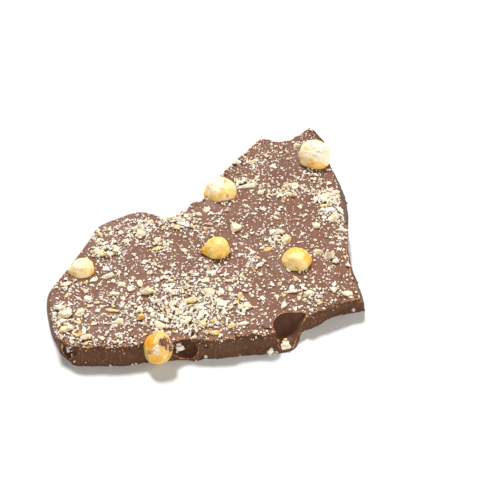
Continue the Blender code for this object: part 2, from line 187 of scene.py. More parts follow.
def stretched(tree, value, low, high, to_low=0.0, to_high=1.0):
    """Maps low and high to to_low and to_high, smoothly between them and level outside."""
    node = add(tree, "ShaderNodeMapRange", interpolation_type="SMOOTHSTEP")
    names = ("Value", "From Min", "From Max", "To Min", "To Max")
    for name, given in zip(names, (value, low, high, to_low, to_high)):
        wire(tree, given, node.inputs[name])
    return node.outputs["Result"]

def maths(tree, operation, first, second):
    node = add(tree, "ShaderNodeMath", operation=operation)
    wire(tree, first, node.inputs[0])
    wire(tree, second, node.inputs[1])
    return node.outputs["Value"]

def times(tree, first, second):
    return maths(tree, "MULTIPLY", first, second)

def added(tree, total, *parts):
    """A value with some parts added to it, each a pair of a value and its weight."""
    for value, weight in parts:
        total = maths(tree, "ADD", total, times(tree, value, weight))
    return total

def attribute(tree, name, output="Fac"):
    return add(tree, "ShaderNodeAttribute", attribute_name=name).outputs[output]

def noise_value(tree, vector, scale, detail=3.0, roughness=0.55):
    inputs = {"Vector": vector, "Scale": scale, "Detail": detail, "Roughness": roughness}
    return add(tree, "ShaderNodeTexNoise", inputs).outputs["Fac"]

def new_group(name, output, *inputs):
    """A node group that reads a place and some more numbers, and puts out one number."""
    group = bpy.data.node_groups.new(name, "ShaderNodeTree")
    group.interface.new_socket("Vector", in_out="INPUT", socket_type="NodeSocketVector")
    for label in inputs:
        group.interface.new_socket(label, in_out="INPUT", socket_type="NodeSocketFloat")
    group.interface.new_socket(output, in_out="OUTPUT", socket_type="NodeSocketFloat")
    result = group.nodes.new("NodeGroupOutput").inputs[output]
    return group, group.nodes.new("NodeGroupInput").outputs, result

def use_group(tree, group, **inputs):
    """What a group puts out. A space in the name of an input is written _ here."""
    given = {name.replace("_", " "): value for name, value in inputs.items()}
    return add(tree, "ShaderNodeGroup", given, node_tree=group).outputs[0]

def add_bump(tree, shader, height, strength, distance):
    bumped = add(tree, "ShaderNodeBump", {"Height": height, "Strength": strength, "Distance": distance})
    wire(tree, bumped.outputs["Normal"], shader.inputs["Normal"])

# %% [markdown]
# Four effects turn up on more than one finish, so each is a node group. Mottle is slow change of shade.
# Dust is a scatter of pale specks finer than any crumb that is modelled: a Voronoi cell gives each speck
# a random size, and drops some of them. Wear marks a band along crisp edges, whose distance the mesh
# carries as an attribute; the band is partly scraped chocolate and partly a painted highlight where the
# rim's lip would catch the light. Relief is height for bump at two sizes.

# %% Shared effects
MOTTLE_CONTRAST = (0.32, 0.68)
# The radius of a speck of dust, as a share of its cell.
DUST_RADII = (0.12, 0.42)
# How fine the edge of the wear is, and how fine its changes along the edge.
RAGGED_SCALE, PATCHY_SCALE = 900.0, 260.0

def mottle_group():
    group, given, mask = new_group("mottle", "Mask", "Scale")
    slow = noise_value(group, given["Vector"], given["Scale"], 4.0, 0.6)
    wire(group, stretched(group, slow, *MOTTLE_CONTRAST), mask)
    return group

def dust_group():
    group, given, mask = new_group("dust", "Mask", "Scale", "Cover")
    cells = add(group, "ShaderNodeTexVoronoi", {"Vector": given["Vector"], "Scale": given["Scale"]})
    chance = add(group, "ShaderNodeSeparateColor", {"Color": cells.outputs["Color"]})
    size = stretched(group, chance.outputs["Red"], 0.0, 1.0, *DUST_RADII)
    speck = maths(group, "LESS_THAN", cells.outputs["Distance"], size)
    kept = maths(group, "LESS_THAN", chance.outputs["Green"], given["Cover"])
    wire(group, times(group, speck, kept), mask)
    return group

def wear_and_highlight_group():
    group, given, mask = new_group("edge_wear_and_highlight", "Mask", "Distance", "Width")
    ragged = stretched(group, noise_value(group, given["Vector"], RAGGED_SCALE, 2.0), 0.3, 0.7, 0.15, 1.6)
    patchy = stretched(group, noise_value(group, given["Vector"], PATCHY_SCALE, 2.0), 0.35, 0.6, 0.25, 1.3)
    reach = times(group, given["Width"], times(group, ragged, patchy))
    share = maths(group, "DIVIDE", given["Distance"], reach)
    wire(group, stretched(group, share, 0.5, 1.0, 1.0, 0.0), mask)
    return group

def relief_group():
    group, given, height = new_group("relief", "Height", "Coarse Scale", "Fine Scale", "Fine Share")
    coarse = noise_value(group, given["Vector"], given["Coarse Scale"], 2.0)
    fine = noise_value(group, given["Vector"], given["Fine Scale"], 3.0, 0.65)
    wire(group, added(group, coarse, (fine, given["Fine Share"])), height)
    return group

MOTTLE, DUST, WEAR_AND_HIGHLIGHT, RELIEF = mottle_group(), dust_group(), wear_and_highlight_group(), relief_group()
print("node groups:", [group.name for group in (MOTTLE, DUST, WEAR_AND_HIGHLIGHT, RELIEF)])

# %% [markdown]
# Milk chocolate looks different on each of its faces. The poured top has set in air, so it is satin and
# takes a pale bloom. A break is matt, with fine streaks up and down, and darker, partly because it has no
# bloom and partly as painted shade. Where a nut fell out, the hollow keeps the nut's smooth print, and is
# painted darker too, partly as painted shade inside it. The underside has the tray's gloss. Under a heap
# of chopped nut the top is painted darker, as painted shade between the crumbs. One function makes them
# all.

# %% Chocolate finishes
DUST_COLOUR = (0.72, 0.62, 0.50)
# Scraped chocolate, for the scratches and for the band along crisp edges, which is also a painted highlight
# of the rim's lip.
SCRAPED_AND_HIGHLIGHT = (0.55, 0.265, 0.125)
# The painted shade between crumbs, where the top lies under a heap of chopped nut.
PAINTED_CRUMB_SHADE = (0.070, 0.030, 0.017)
# How fine each pattern is. The pattern of streaks and scratches is stretched upwards, along Z.
UPRIGHT = (1.0, 1.0, 0.12)
STREAK_SCALE, SCRATCH_SCALE, SPECK_SCALE = 1500.0, 3400.0, 1700.0
BROAD_SCALE, CLOSE_SCALE = 55.0, 600.0
BROAD_SHARE, CLOSE_SHARE = 0.6, 0.4
ROUGHNESS_SPREAD = 0.07
CHOCOLATE_SHEEN = 0.12
BUMP_DEPTH = 0.4 * MM

def chocolate(name, light, dark, roughness, wear=0.35, cover=0.5, streak=0.0, bump=0.25):
    made, tree, shader = new_finish(name, Specular_IOR_Level=CHOCOLATE_SHEEN)
    place = add(tree, "ShaderNodeTexCoord").outputs["Object"]
    upright = add(tree, "ShaderNodeMapping", {"Vector": place, "Scale": UPRIGHT}).outputs["Vector"]
    streaks = noise_value(tree, upright, STREAK_SCALE, 2.0)
    broad = use_group(tree, MOTTLE, Vector=place, Scale=BROAD_SCALE)
    close = use_group(tree, MOTTLE, Vector=place, Scale=CLOSE_SCALE)
    shade = added(tree, times(tree, broad, BROAD_SHARE), (close, CLOSE_SHARE))
    scratches = noise_value(tree, upright, SCRATCH_SCALE, 1.0)
    scratches = stretched(tree, scratches, 0.60, 0.72, 0.0, 0.45 * streak)
    worn_and_lit = use_group(tree, WEAR_AND_HIGHLIGHT, Vector=place, Distance=attribute(tree, "from_edge"), Width=wear * MM)
    thick = times(tree, attribute(tree, "crumb_cover"), cover)
    dusty = use_group(tree, DUST, Vector=place, Scale=SPECK_SCALE, Cover=times(tree, thick, 0.6))
    colour = mixed(tree, shade, dark, light)
    colour = mixed(tree, times(tree, streaks, streak), colour, dark)
    colour = mixed(tree, scratches, colour, SCRAPED_AND_HIGHLIGHT)
    # Along crisp edges: scraped chocolate, and a painted highlight where the rim's lip would catch the light.
    colour = mixed(tree, worn_and_lit, colour, SCRAPED_AND_HIGHLIGHT)
    # Painted shade: the thicker the chopped nut lies, the darker the chocolate between the crumbs.
    colour = mixed(tree, stretched(tree, thick, 0.05, 0.42, 0.0, 0.9), colour, PAINTED_CRUMB_SHADE)
    wire(tree, mixed(tree, dusty, colour, DUST_COLOUR), shader.inputs["Base Color"])
    rough, smooth = roughness + ROUGHNESS_SPREAD, roughness - ROUGHNESS_SPREAD
    wire(tree, stretched(tree, shade, 0.0, 1.0, rough, smooth), shader.inputs["Roughness"])
    height = use_group(tree, RELIEF, Vector=place, Coarse_Scale=420.0, Fine_Scale=2600.0, Fine_Share=0.35)
    add_bump(tree, shader, added(tree, height, (streaks, streak * 0.6), (dusty, 0.5)), bump, BUMP_DEPTH)
    return made

POURED = chocolate(
    "milk_chocolate_poured", (0.190, 0.085, 0.053), (0.153, 0.066, 0.040), 0.50, wear=0.22, cover=0.3,
)
# The break is darker than the top, partly for want of bloom and partly as painted shade on breaks that face
# away from the key light.
BROKEN = chocolate(
    "milk_chocolate_broken", (0.142, 0.069, 0.040), (0.086, 0.039, 0.022), 0.55,
    wear=0.25, cover=0.02, streak=0.9, bump=0.6,
)
# The hollow is darker still, partly as painted shade inside the hollow.
HOLLOW = chocolate(
    "milk_chocolate_hollow", (0.128, 0.060, 0.035), (0.090, 0.041, 0.024), 0.48,
    wear=0.3, cover=0.0, bump=0.12,
)
UNDERSIDE = chocolate(
    "milk_chocolate_tray_side", (0.195, 0.095, 0.058), (0.170, 0.080, 0.048), 0.25, cover=0.0, bump=0.06,
)
BEDDING = chocolate(
    "milk_chocolate_bed", (0.120, 0.057, 0.034), (0.090, 0.042, 0.025), 0.45, wear=0.1, cover=0.0,
)

# %% [markdown]
# A blanched hazelnut is golden, deep orange where the roast caught it, and floury white where its surface
# has broken open. Ribs run from tip to base. They follow the nut and not the world, so the mesh carries
# each point's place on a nut of radius 1 as the attribute "kernel", and the texture is read there. Three
# more attributes say where the nut is deep orange, floury or spotted. The deep orange is partly the roast
# and partly painted shade on the sides of a nut that turn from the light. Light goes some way into a nut
# and comes out beside where it went in, which is what Subsurface is for.

# %% Nut finish
SPOT_BROWN = (0.50, 0.21, 0.06)
SCUFFED_CREAM = (0.92, 0.78, 0.48)
FLOURY_WHITE = (0.97, 0.88, 0.73)
NUT_LENGTHWISE = (1.0, 1.0, 0.16)
# Light goes about 2 mm into a nut, and red light goes furthest.
NUT_LIGHT = {
    "Specular_IOR_Level": 0.35, "Subsurface_Weight": 0.50, "Subsurface_Radius": (1.0, 0.58, 0.25),
    "Subsurface_Scale": 2 * MM,
}
NUT_BUMP, NUT_BUMP_DEPTH = 0.55, 0.5 * MM

def nut_finish(name, pale, deep_and_shaded):
    made, tree, shader = new_finish(name, **NUT_LIGHT)
    place = add(tree, "ShaderNodeTexCoord").outputs["Object"]
    kernel = attribute(tree, "kernel", "Vector")
    along = add(tree, "ShaderNodeMapping", {"Vector": kernel, "Scale": NUT_LENGTHWISE}).outputs["Vector"]
    ribs = noise_value(tree, along, 7.0, 3.0)
    scuffs = stretched(tree, noise_value(tree, along, 16.0, 2.0), 0.58, 0.70, 0.0, 0.45)
    blotch = use_group(tree, MOTTLE, Vector=kernel, Scale=2.2)
    grain = use_group(tree, MOTTLE, Vector=kernel, Scale=9.0)
    uneven = added(tree, times(tree, blotch, 0.45), (ribs, 0.70))
    # The deep orange is partly the roast and partly painted shade on the sides that turn from the light.
    depth = maths(tree, "ADD", attribute(tree, "deep_and_shaded"), maths(tree, "SUBTRACT", uneven, 0.45))
    floury = stretched(tree, added(tree, attribute(tree, "floury"), (grain, 0.45)), 0.55, 0.80)
    spotted = times(tree, attribute(tree, "spot"), stretched(tree, grain, 0.0, 1.0, 0.55, 1.0))
    colour = mixed(tree, stretched(tree, depth, 0.12, 0.88), pale, deep_and_shaded)
    colour = mixed(tree, scuffs, colour, SCUFFED_CREAM)
    colour = mixed(tree, floury, colour, FLOURY_WHITE)
    wire(tree, mixed(tree, spotted, colour, SPOT_BROWN), shader.inputs["Base Color"])
    wire(tree, stretched(tree, floury, 0.0, 1.0, 0.36, 0.7), shader.inputs["Roughness"])
    height = use_group(tree, RELIEF, Vector=place, Coarse_Scale=900.0, Fine_Scale=3200.0, Fine_Share=0.4)
    height = added(tree, height, (ribs, 2.2), (floury, times(tree, grain, 0.8)))
    add_bump(tree, shader, height, NUT_BUMP, NUT_BUMP_DEPTH)
    return made

# %% [markdown]
# Chopped nut is the same nut, cut: chalky white inside, yellow or toasted where a bit of the outside is
# left. Every crumb carries its own tint from 0 to 1, and a ramp turns the tint into a colour.

# %% Chopped nut finish
TINTS = [
    (0.00, (0.92, 0.87, 0.80)), (0.12, (0.84, 0.77, 0.65)), (0.35, (0.75, 0.64, 0.46)),
    (0.55, (0.77, 0.61, 0.34)), (0.78, (0.76, 0.53, 0.19)), (1.00, (0.66, 0.29, 0.06)),
]
CHOPPED_LIGHT = {
    "Roughness": 0.6, "Subsurface_Weight": 0.30, "Subsurface_Radius": (1.0, 0.7, 0.4),
    "Subsurface_Scale": 1 * MM,
}
CHOPPED_BUMP = 0.35

def chopped_finish():
    made, tree, shader = new_finish("chopped_nut_finish", **CHOPPED_LIGHT)
    place = add(tree, "ShaderNodeTexCoord").outputs["Object"]
    patch = use_group(tree, MOTTLE, Vector=place, Scale=420.0)
    toasted = times(tree, stretched(tree, patch, 0.0, 1.0, 0.55, 1.1), attribute(tree, "tint"))
    ramp = add(tree, "ShaderNodeValToRGB", {"Fac": toasted})
    stops = ramp.color_ramp.elements
    while len(stops) < len(TINTS):
        stops.new(0.5)
    for stop, (at, colour) in zip(stops, TINTS):
        stop.position = at
        stop.color = (*colour, 1.0)
    wire(tree, ramp.outputs["Color"], shader.inputs["Base Color"])
    height = use_group(tree, RELIEF, Vector=place, Coarse_Scale=1300.0, Fine_Scale=4200.0, Fine_Share=0.5)
    add_bump(tree, shader, height, CHOPPED_BUMP, BUMP_DEPTH)
    return made

CHOPPED = chopped_finish()
print("finishes:", sorted(finish.name for finish in bpy.data.materials))

# %% [markdown]
# The rim. A broken edge has no formula, so it is a loop of named stretches, each a short list of points
# with a smooth curve through them. The last two numbers of a point say how far from the rim the foot of
# the wall stands, because hardly any break is upright.

# %% The rim, stretch by stretch
FRONT_BREAK = [
    (-59.2, -66.0, 1.2, 0.6), (-56.0, -68.1, -0.3, -0.1), (-53.4, -70.1, -0.2, -0.5),
    (-51.0, -71.6, -0.4, -1.0), (-44.0, -71.9, 0.0, -1.2), (-33.0, -71.5, 0.0, -1.4),
    (-27.0, -70.6, 0.0, -1.6), (-24.0, -69.2, 0.0, -1.8), (-18.5, -68.6, 0.0, -1.6),
    (-13.5, -70.0, -0.2, -0.4),
]
LOST_NUT_BREAK = [
    (-13.5, -70.0, -0.2, -0.4), (-10.8, -67.3, 0.2, -2.4), (-6.5, -66.4, -0.4, -3.5),
    (-3.2, -67.2, -0.2, -3.2), (0.5, -67.4, 0.0, -1.4),
]
LONG_BREAK = [
    (0.5, -67.4, 0.0, -1.4), (6.0, -67.2, 0.0, -1.7), (16.0, -65.0, 0.1, -2.3), (21.5, -64.2, 0.2, -2.8),
    (26.2, -63.8, 0.3, -2.4),
]
CUP_BREAK = [
    (26.2, -63.8, 0.3, -2.4), (29.5, -61.6, 1.2, -4.3), (33.3, -59.0, 2.5, -4.8), (37.0, -56.2, 1.2, -2.8),
    (41.2, -53.0, -2.0, -1.4),
]
RIGHT_FRONT_BREAK = [
    (41.2, -53.0, -2.0, -1.4), (46.7, -50.7, -0.5, 0.3), (50.9, -48.6, -0.6, 1.4), (55.1, -46.1, 0.1, 1.6),
    (59.3, -44.3, 0.3, 0.8), (63.7, -42.9, 2.4, 1.0),
]
RIGHT_BREAK = [
    (63.7, -42.9, 2.4, 1.0), (62.9, -38.0, 3.2, 0.5), (61.2, -28.5, 3.5, 0.4), (60.3, -19.0, 2.6, 0.1),
    (60.3, -8.0, 0.9, 0.0), (60.6, 0.0, 0.6, 0.0), (60.2, 8.0, 1.8, 0.2), (59.3, 18.0, 3.5, 0.3),
    (58.1, 31.0, 4.0, 0.6), (55.4, 44.0, 3.6, 0.8), (52.0, 57.0, 3.7, 0.9), (49.7, 66.0, 4.4, 0.9),
    (49.0, 71.6, 5.6, 0.6),
]
BACK_BREAK = [
    (49.0, 71.6, 5.6, 0.6), (46.6, 72.9, 0.4, 0.8), (42.5, 67.8, -0.4, 0.6), (38.0, 64.2, -0.3, 0.6),
    (32.8, 62.0, 0.0, 0.6), (28.5, 63.4, 0.0, 0.6), (24.4, 64.0, -0.2, 0.6), (20.8, 59.9, -0.4, 0.4),
    (12.4, 47.8, -0.5, 0.3), (4.0, 33.5, -0.6, 0.3), (-2.3, 19.8, -0.4, 0.5), (-6.7, 17.5, -0.4, 0.5),
    (-9.4, 12.7, -0.4, 0.4), (-14.0, 8.8, -0.3, 0.5), (-19.5, 5.8, 0.0, 0.6),
]
POURED_EDGE = [
    (-19.5, 5.8, 0.0, 0.6), (-24.0, 9.0, -0.3, 1.2), (-31.0, 10.0, -0.3, 1.6), (-39.0, 6.0, -0.9, 1.5),
    (-46.3, 0.8, -1.4, 1.1), (-48.8, -5.5, -1.7, 0.4), (-52.5, -15.0, -1.6, 0.6), (-57.0, -25.5, -1.6, 0.7),
    (-62.2, -37.0, -1.7, 0.5), (-63.5, -42.5, -1.6, 0.0), (-62.7, -51.0, -0.8, 0.0),
    (-61.7, -56.5, -0.1, 0.2), (-60.4, -62.0, 1.4, 0.5), (-59.2, -66.0, 1.2, 0.6),
]

# For each stretch: its points, then how round its wall is, how strong the shell-like waves of its break
# are, and how far its upper edge has crumbled.
STRETCHES = [
    (FRONT_BREAK, (0.0, 0.15, 1.0)), (LOST_NUT_BREAK, (0.0, 0.3, 0.6)), (LONG_BREAK, (0.0, 0.55, 0.9)),
    (CUP_BREAK, (0.0, 0.5, 0.2)), (RIGHT_FRONT_BREAK, (0.0, 1.0, 0.8)), (RIGHT_BREAK, (0.0, 0.7, 0.15)),
    (BACK_BREAK, (0.0, 0.6, 0.4)), (POURED_EDGE, (1.0, 0.0, 0.0)),
]
CURVE_STEPS = 12

def curve_point(points, at):
    """A point of the smooth curve through all the points of a stretch, at counting them from 0."""
    last = len(points) - 1
    i = min(int(at), last - 1)
    t = at - i
    p0, p1, p2, p3 = (points[min(max(i + k, 0), last)] for k in (-1, 0, 1, 2))
    curve = 2 * p1 + (p2 - p0) * t
    curve += (2 * p0 - 5 * p1 + 4 * p2 - p3) * t * t
    curve += (3 * p1 - p0 - 3 * p2 + p3) * t * t * t
    return curve / 2

def stretch_samples(stretch, step):
    """Evenly spaced points along one stretch, as vectors (x, y, foot x, foot y), without the last."""
    points = [Vector(p) * MM for p in stretch]
    fine = [curve_point(points, k / CURVE_STEPS) for k in range(CURVE_STEPS * (len(points) - 1) + 1)]
    lengths = [0.0]
    for a, b in zip(fine, fine[1:]):
        lengths.append(lengths[-1] + (b.xy - a.xy).length)
    count = max(2, round(lengths[-1] / step))
    samples = []
    k = 0
    for n in range(count):
        wanted = lengths[-1] * n / count
        while lengths[k + 1] < wanted:
            k += 1
        samples.append(fine[k].lerp(fine[k + 1], (wanted - lengths[k]) / (lengths[k + 1] - lengths[k])))
    return samples

def rim_samples(step):
    """All points round the rim, each with its wall's roundness, waves and crumbling."""
    return [(point, Vector(look)) for stretch, look in STRETCHES for point in stretch_samples(stretch, step)]

# %% [markdown]
# The poured top. It tapers to the right and swells slowly, as the plain shard does. On top of that come
# low ripples, and the chocolate climbs a little at each nut, as any liquid climbs what stands in it.

# %% Whole hazelnuts and the poured top
# Centre (x, y, z) and radius, length for width, tip height, where the tip points, and the seed of the facets.
HAZELNUTS = {
    "hazelnut_left_edge": ((-51.9, -26.9, 8.6), 5.6, 1.06, 0.08, (200, 25), 11),
    "hazelnut_pointed": ((4.6, -15.0, 10.3), 5.35, 1.08, 0.20, (190, -2), 22),
    "hazelnut_back_edge": ((5.4, 24.4, 8.1), 7.5, 1.05, 0.05, (330, -20), 33),
    "hazelnut_top_corner": ((48.6, 48.4, 10.2), 8.0, 1.05, 0.05, (60, -35), 44),
    "hazelnut_right": ((38.0, -21.1, 8.6), 6.25, 1.08, 0.06, (20, -10), 55),
    "hazelnut_front_break": ((-18.3, -69.8, 6.8), 6.0, 1.16, 0.03, (80, 48), 66),
}
RIPPLE_HEIGHT = 0.16 * MM
RIPPLE_LENGTH = 7 * MM
CLIMB_HEIGHT = 0.45 * MM
CLIMB_REACH = 1.5 * MM

def hump(off, width):
    """A smooth hump, 1 high where off is 0."""
    return math.exp(-((off / width) ** 2))

def away_from(centre, x, y):
    """How far a place is from the centre of a nut or a hollow, given in millimetres, seen from above."""
    return math.hypot(x - centre[0] * MM, y - centre[1] * MM)

def top_height(x, y):
    """The height of the plain shard's top."""
    swell = noise.noise(Vector((x / SWELL_LENGTH, y / SWELL_LENGTH, SWELL_SLICE)))
    return THICKNESS - TAPER * x + SWELL_HEIGHT * swell

def fine_top(x, y):
    """The same with ripples, and with the climb at each nut."""
    height = top_height(x, y) + RIPPLE_HEIGHT * noise.fractal(Vector((x, y, 0)) / RIPPLE_LENGTH, 0.8, 2.0, 3)
    for centre, radius, *_ in HAZELNUTS.values():
        level = math.sqrt(max(0.0, (radius * MM) ** 2 - (height - centre[2] * MM) ** 2))
        height += CLIMB_HEIGHT * hump(max(0.0, away_from(centre, x, y) - level), CLIMB_REACH)
    return height

print("top at the left and the right, mm:", [round(top_height(x * MM, -20 * MM) / MM, 2) for x in (-60, 60)])

# %% [markdown]
# The wall. Milk chocolate breaks like glass that is a little soft: long shell-shaped waves, fine streaks
# that fan upwards, and small chips out of the upper edge, where the skin of the pour lets go. The wall is
# one face the shape of the foot, extruded up row by row, each row with its own offset. The rows are
# closer together near the top, where the chips are. A bare number at the end of a place where noise is
# read only picks a slice of it that nothing else reads.

# %% The broken wall
FINE_RIM_STEP = 0.4 * MM
WALL_ROWS = [0.0, 0.03, 0.08, 0.15, 0.22, 0.29, 0.36, 0.43, 0.50, 0.57, 0.64, 0.70, 0.76, 0.81, 0.855, 0.89]
WALL_ROWS += [0.92, 0.945, 0.965, 0.985, 1.005, 1.03]
WALL_TOP = 1.35
BLEND_SAMPLES = 7
RAGGED_HEIGHT = 0.35 * MM
RAGGED_LENGTH = 3.5 * MM
RAGGED_STRETCH = 0.5
POUR_CALM = 0.8
POUR_BULGE = 0.6 * MM
ROUND_SPAN = 1.45
WAVE_HEIGHT = 0.22 * MM
WAVE_LENGTH = 2.4 * MM
WAVE_SLANT = 0.55
BEND_HEIGHT = 3.5 * MM
BEND_LENGTH = 9 * MM
STREAK_HEIGHT = 0.15 * MM
STREAK_LENGTH = (0.9 * MM, 6.0 * MM)
CHIP_DEPTH = 0.85 * MM
CHIP_LENGTH = 2.6 * MM
FINE_CHIP_LENGTH = 0.9 * MM
CHIP_FROM = 0.80
CRUMBLE_DEPTH = 0.75 * MM
CRUMBLE_LENGTH = 1.1 * MM
CRUMBLE_FROM = 0.74

def smooth_step(low, high, value):
    """0 below low and 1 above high, and smooth between them. Turned round, it falls from 1 to 0."""
    t = max(0.0, min(1.0, (value - low) / (high - low)))
    return t * t * (3 - 2 * t)

def fine_rim():
    """The rim with each sample's outward direction, its run along the rim, and gradual changes of wall."""
    samples = rim_samples(FINE_RIM_STEP)
    count = len(samples)
    near = range(-BLEND_SAMPLES, BLEND_SAMPLES + 1)
    rim = []
    for n, (point, _) in enumerate(samples):
        before, after = samples[n - 3][0], samples[(n + 3) % count][0]
        outward = Vector((after.y - before.y, before.x - after.x)).normalized()
        look = sum((samples[(n + k) % count][1] for k in near), Vector((0, 0, 0))) / len(near)
        rim.append((point, outward, look, n * FINE_RIM_STEP))
    return rim

def break_relief(point, run, share, waves, crumble):
    """How far a broken wall stands out from its plain slope."""
    x, y, z = point
    relief = RAGGED_HEIGHT * noise.noise(Vector((x, y, RAGGED_STRETCH * z)) / RAGGED_LENGTH)
    bend = BEND_HEIGHT * noise.noise(Vector((run / BEND_LENGTH, z / BEND_LENGTH, 0.7)))
    phase = (z + WAVE_SLANT * run + bend) / WAVE_LENGTH
    crest = 1 - abs(2 * (phase - math.floor(phase)) - 1)
    relief += WAVE_HEIGHT * waves * (crest - 0.5)
    relief += STREAK_HEIGHT * noise.noise(Vector((run / STREAK_LENGTH[0], z / STREAK_LENGTH[1], 5.3)))
    chip = smooth_step(0.10, 0.42, noise.noise(Vector((run / CHIP_LENGTH, 1.9, 0.4))))
    fine = smooth_step(-0.1, 0.5, noise.noise(Vector((run / FINE_CHIP_LENGTH, 7.7, 0.4))))
    relief -= CHIP_DEPTH * (0.75 * chip + 0.25 * fine) * smooth_step(CHIP_FROM, 1.0, share)
    rough = noise.fractal(Vector((run, z, 0)) / CRUMBLE_LENGTH, 0.7, 2.0, 2)
    return relief - CRUMBLE_DEPTH * crumble * (0.6 + 0.8 * rough) * smooth_step(CRUMBLE_FROM, 1.0, share)

def wall_point(sample, height):
    """The point of the wall at one sample and a share of the thickness: a break slopes, the pour bulges."""
    (x, y, foot_x, foot_y), outward, (roundness, waves, crumble), run = sample
    share = min(height, 1.0)
    z = height * (top_height(x, y) if height < WALL_TOP else THICKNESS)
    level = 1 - ROUND_SPAN * (1 - share)
    rounded = math.sqrt(max(0.0, 1 - level * level))
    reach = (1 - share) * (1 - roundness) + rounded * roundness
    proud = break_relief((x, y, z), run, share, waves, crumble) * (1 - POUR_CALM * roundness)
    proud += POUR_BULGE * rounded * roundness
    return Vector((x + foot_x * reach + outward.x * proud, y + foot_y * reach + outward.y * proud, z))

def broken_blank(rim):
    """The wall from the tray to above the poured top, closed at both ends."""
    bm = bmesh.new()
    foot = face = bm.faces.new([bm.verts.new(wall_point(sample, 0.0)) for sample in rim])
    for height in (*WALL_ROWS[1:], WALL_TOP):
        raised = bmesh.ops.extrude_face_region(bm, geom=[face])
        if face is not foot:
            bmesh.ops.delete(bm, geom=[face], context="FACES_ONLY")
        face = next(g for g in raised["geom"] if isinstance(g, bmesh.types.BMFace))
        for sample, vert in zip(rim, face.verts):
            vert.co = wall_point(sample, height)
    bmesh.ops.recalc_face_normals(bm, faces=bm.faces)
    return bm

RIM = fine_rim()
print(len(RIM), "samples round the rim, which is", round(len(RIM) * FINE_RIM_STEP / MM), "mm long")

# %% [markdown]
# The kernel. A hazelnut is a ball with flats: each flat is a plane that the ball may hardly pass. Adding
# the planes' shares with a high power rounds the edges between them. The fine nut has the plain nut's
# form, with small crisp flats, ribs and dimples pressed inwards. Only its tip is drawn out a little more.

# %% The kernel's form
FACETS = 12
FACET_DEPTHS = (0.87, 1.0)
FACET_SHARPNESS = 16
FACET_TURN = 0.5
TIP_WIDTH = 0.34
BASE_FLAT = 0.06
BASE_WIDTH = 0.55
FINE_FACETS = 26
FINE_FACET_DEPTHS = (0.935, 1.0)
FINE_FACET_SHARPNESS = 60
# How far the fine nut's tip is drawn out further, as a share of the plain tip, and how wide it is there.
POINT_SHARE = 0.7
POINT_WIDTH = 0.24
RIB_DEPTH = 0.026
DIMPLE_DEPTH = 0.020
SCAR_DEPTH = 0.030

def facet_planes(seed, count=FACETS, depths=FACET_DEPTHS):
    """Directions and depths of the flats that a kernel's halves and skin leave on it."""
    rng = random.Random(seed)
    planes = []
    for k in range(count):
        lift = 1 - 2 * (k + 0.5) / count
        turn = k * math.pi * (3 - math.sqrt(5)) + rng.uniform(-FACET_TURN, FACET_TURN)
        level = math.sqrt(1 - lift * lift)
        direction = Vector((level * math.cos(turn), level * math.sin(turn), lift))
        planes.append((direction, rng.uniform(*depths)))
    return planes

def flattened(direction, planes, sharpness):
    """The radius in one direction of a ball of radius 1 with flats."""
    total = 1.0
    for normal, depth in planes:
        total += (max(0.0, direction.dot(normal)) / depth) ** sharpness
    return total ** (-1 / sharpness)

def angle_off_tip(direction):
    return math.acos(max(-1.0, min(1.0, direction.z)))

def kernel_radius(direction, planes, tip_height):
    """The radius of a hazelnut of radius 1 in a direction, with its tip at +Z."""
    off_tip = angle_off_tip(direction)
    tip, base = tip_height * hump(off_tip, TIP_WIDTH), BASE_FLAT * hump(math.pi - off_tip, BASE_WIDTH)
    return flattened(direction, planes, FACET_SHARPNESS) * (1 + tip - base)

def kernel_relief(direction, seed):
    """How far ribs, dimples and the rough base press in, as a share of the radius."""
    ribs = noise.noise(Vector((5 * direction.x, 5 * direction.y, 0.8 * direction.z + seed)))
    fine_ribs = noise.noise(Vector((12 * direction.x, 12 * direction.y, 1.5 * direction.z + seed)))
    dimples = noise.noise(3.2 * direction + Vector((seed, 0, 0)))
    rough = noise.noise(16 * direction) * smooth_step(0.72, 0.88, -direction.z)
    pressed = RIB_DEPTH * max(0.0, ribs + 0.4 * fine_ribs) + DIMPLE_DEPTH * max(0.0, dimples)
    return pressed + SCAR_DEPTH * max(0.0, rough)

def hazelnut(centre, radius, length, tip_height, tip, seed, detail, relief=False):
    """A kernel in its place, with the layer "kernel" for every point's place on a nut of radius 1."""
    bm = bmesh.new()
    own_place = bm.verts.layers.float_vector.new("kernel")
    bmesh.ops.create_icosphere(bm, subdivisions=detail, radius=1.0)
    planes = facet_planes(seed)
    fine_planes = facet_planes(seed + 1, FINE_FACETS, FINE_FACET_DEPTHS)
    azimuth, elevation = (math.radians(a) for a in tip)
    level = math.cos(elevation)
    pointing = Vector((math.cos(azimuth) * level, math.sin(azimuth) * level, math.sin(elevation)))
    turn = pointing.to_track_quat("Z", "Y")
    for vert in bm.verts:
        direction = vert.co.normalized()
        size = kernel_radius(direction, planes, tip_height)
        if relief:
            size *= flattened(direction, fine_planes, FINE_FACET_SHARPNESS)
            size -= kernel_relief(direction, seed)
            size += POINT_SHARE * tip_height * hump(angle_off_tip(direction), POINT_WIDTH)
        vert[own_place] = direction * size + Vector((0, 0, seed))
        at = direction * size * radius * MM
        at.z *= length
        vert.co = turn @ at + Vector(centre) * MM
    return bm

# %% [markdown]
# The slab is carved as it was in life. First the poured block is laid down. Then the blank is intersected
# with it, which breaks it to shape. Then the nuts' beds and the hollows that lost nuts left are cut out.
# Each tool brings its own finish, and the Boolean's transfer mode leaves it on the faces it cuts. Where two
# surfaces almost touch, it also leaves slivers without any thickness, and here and there a splinter that
# hangs on nothing. Those are deleted afterwards.

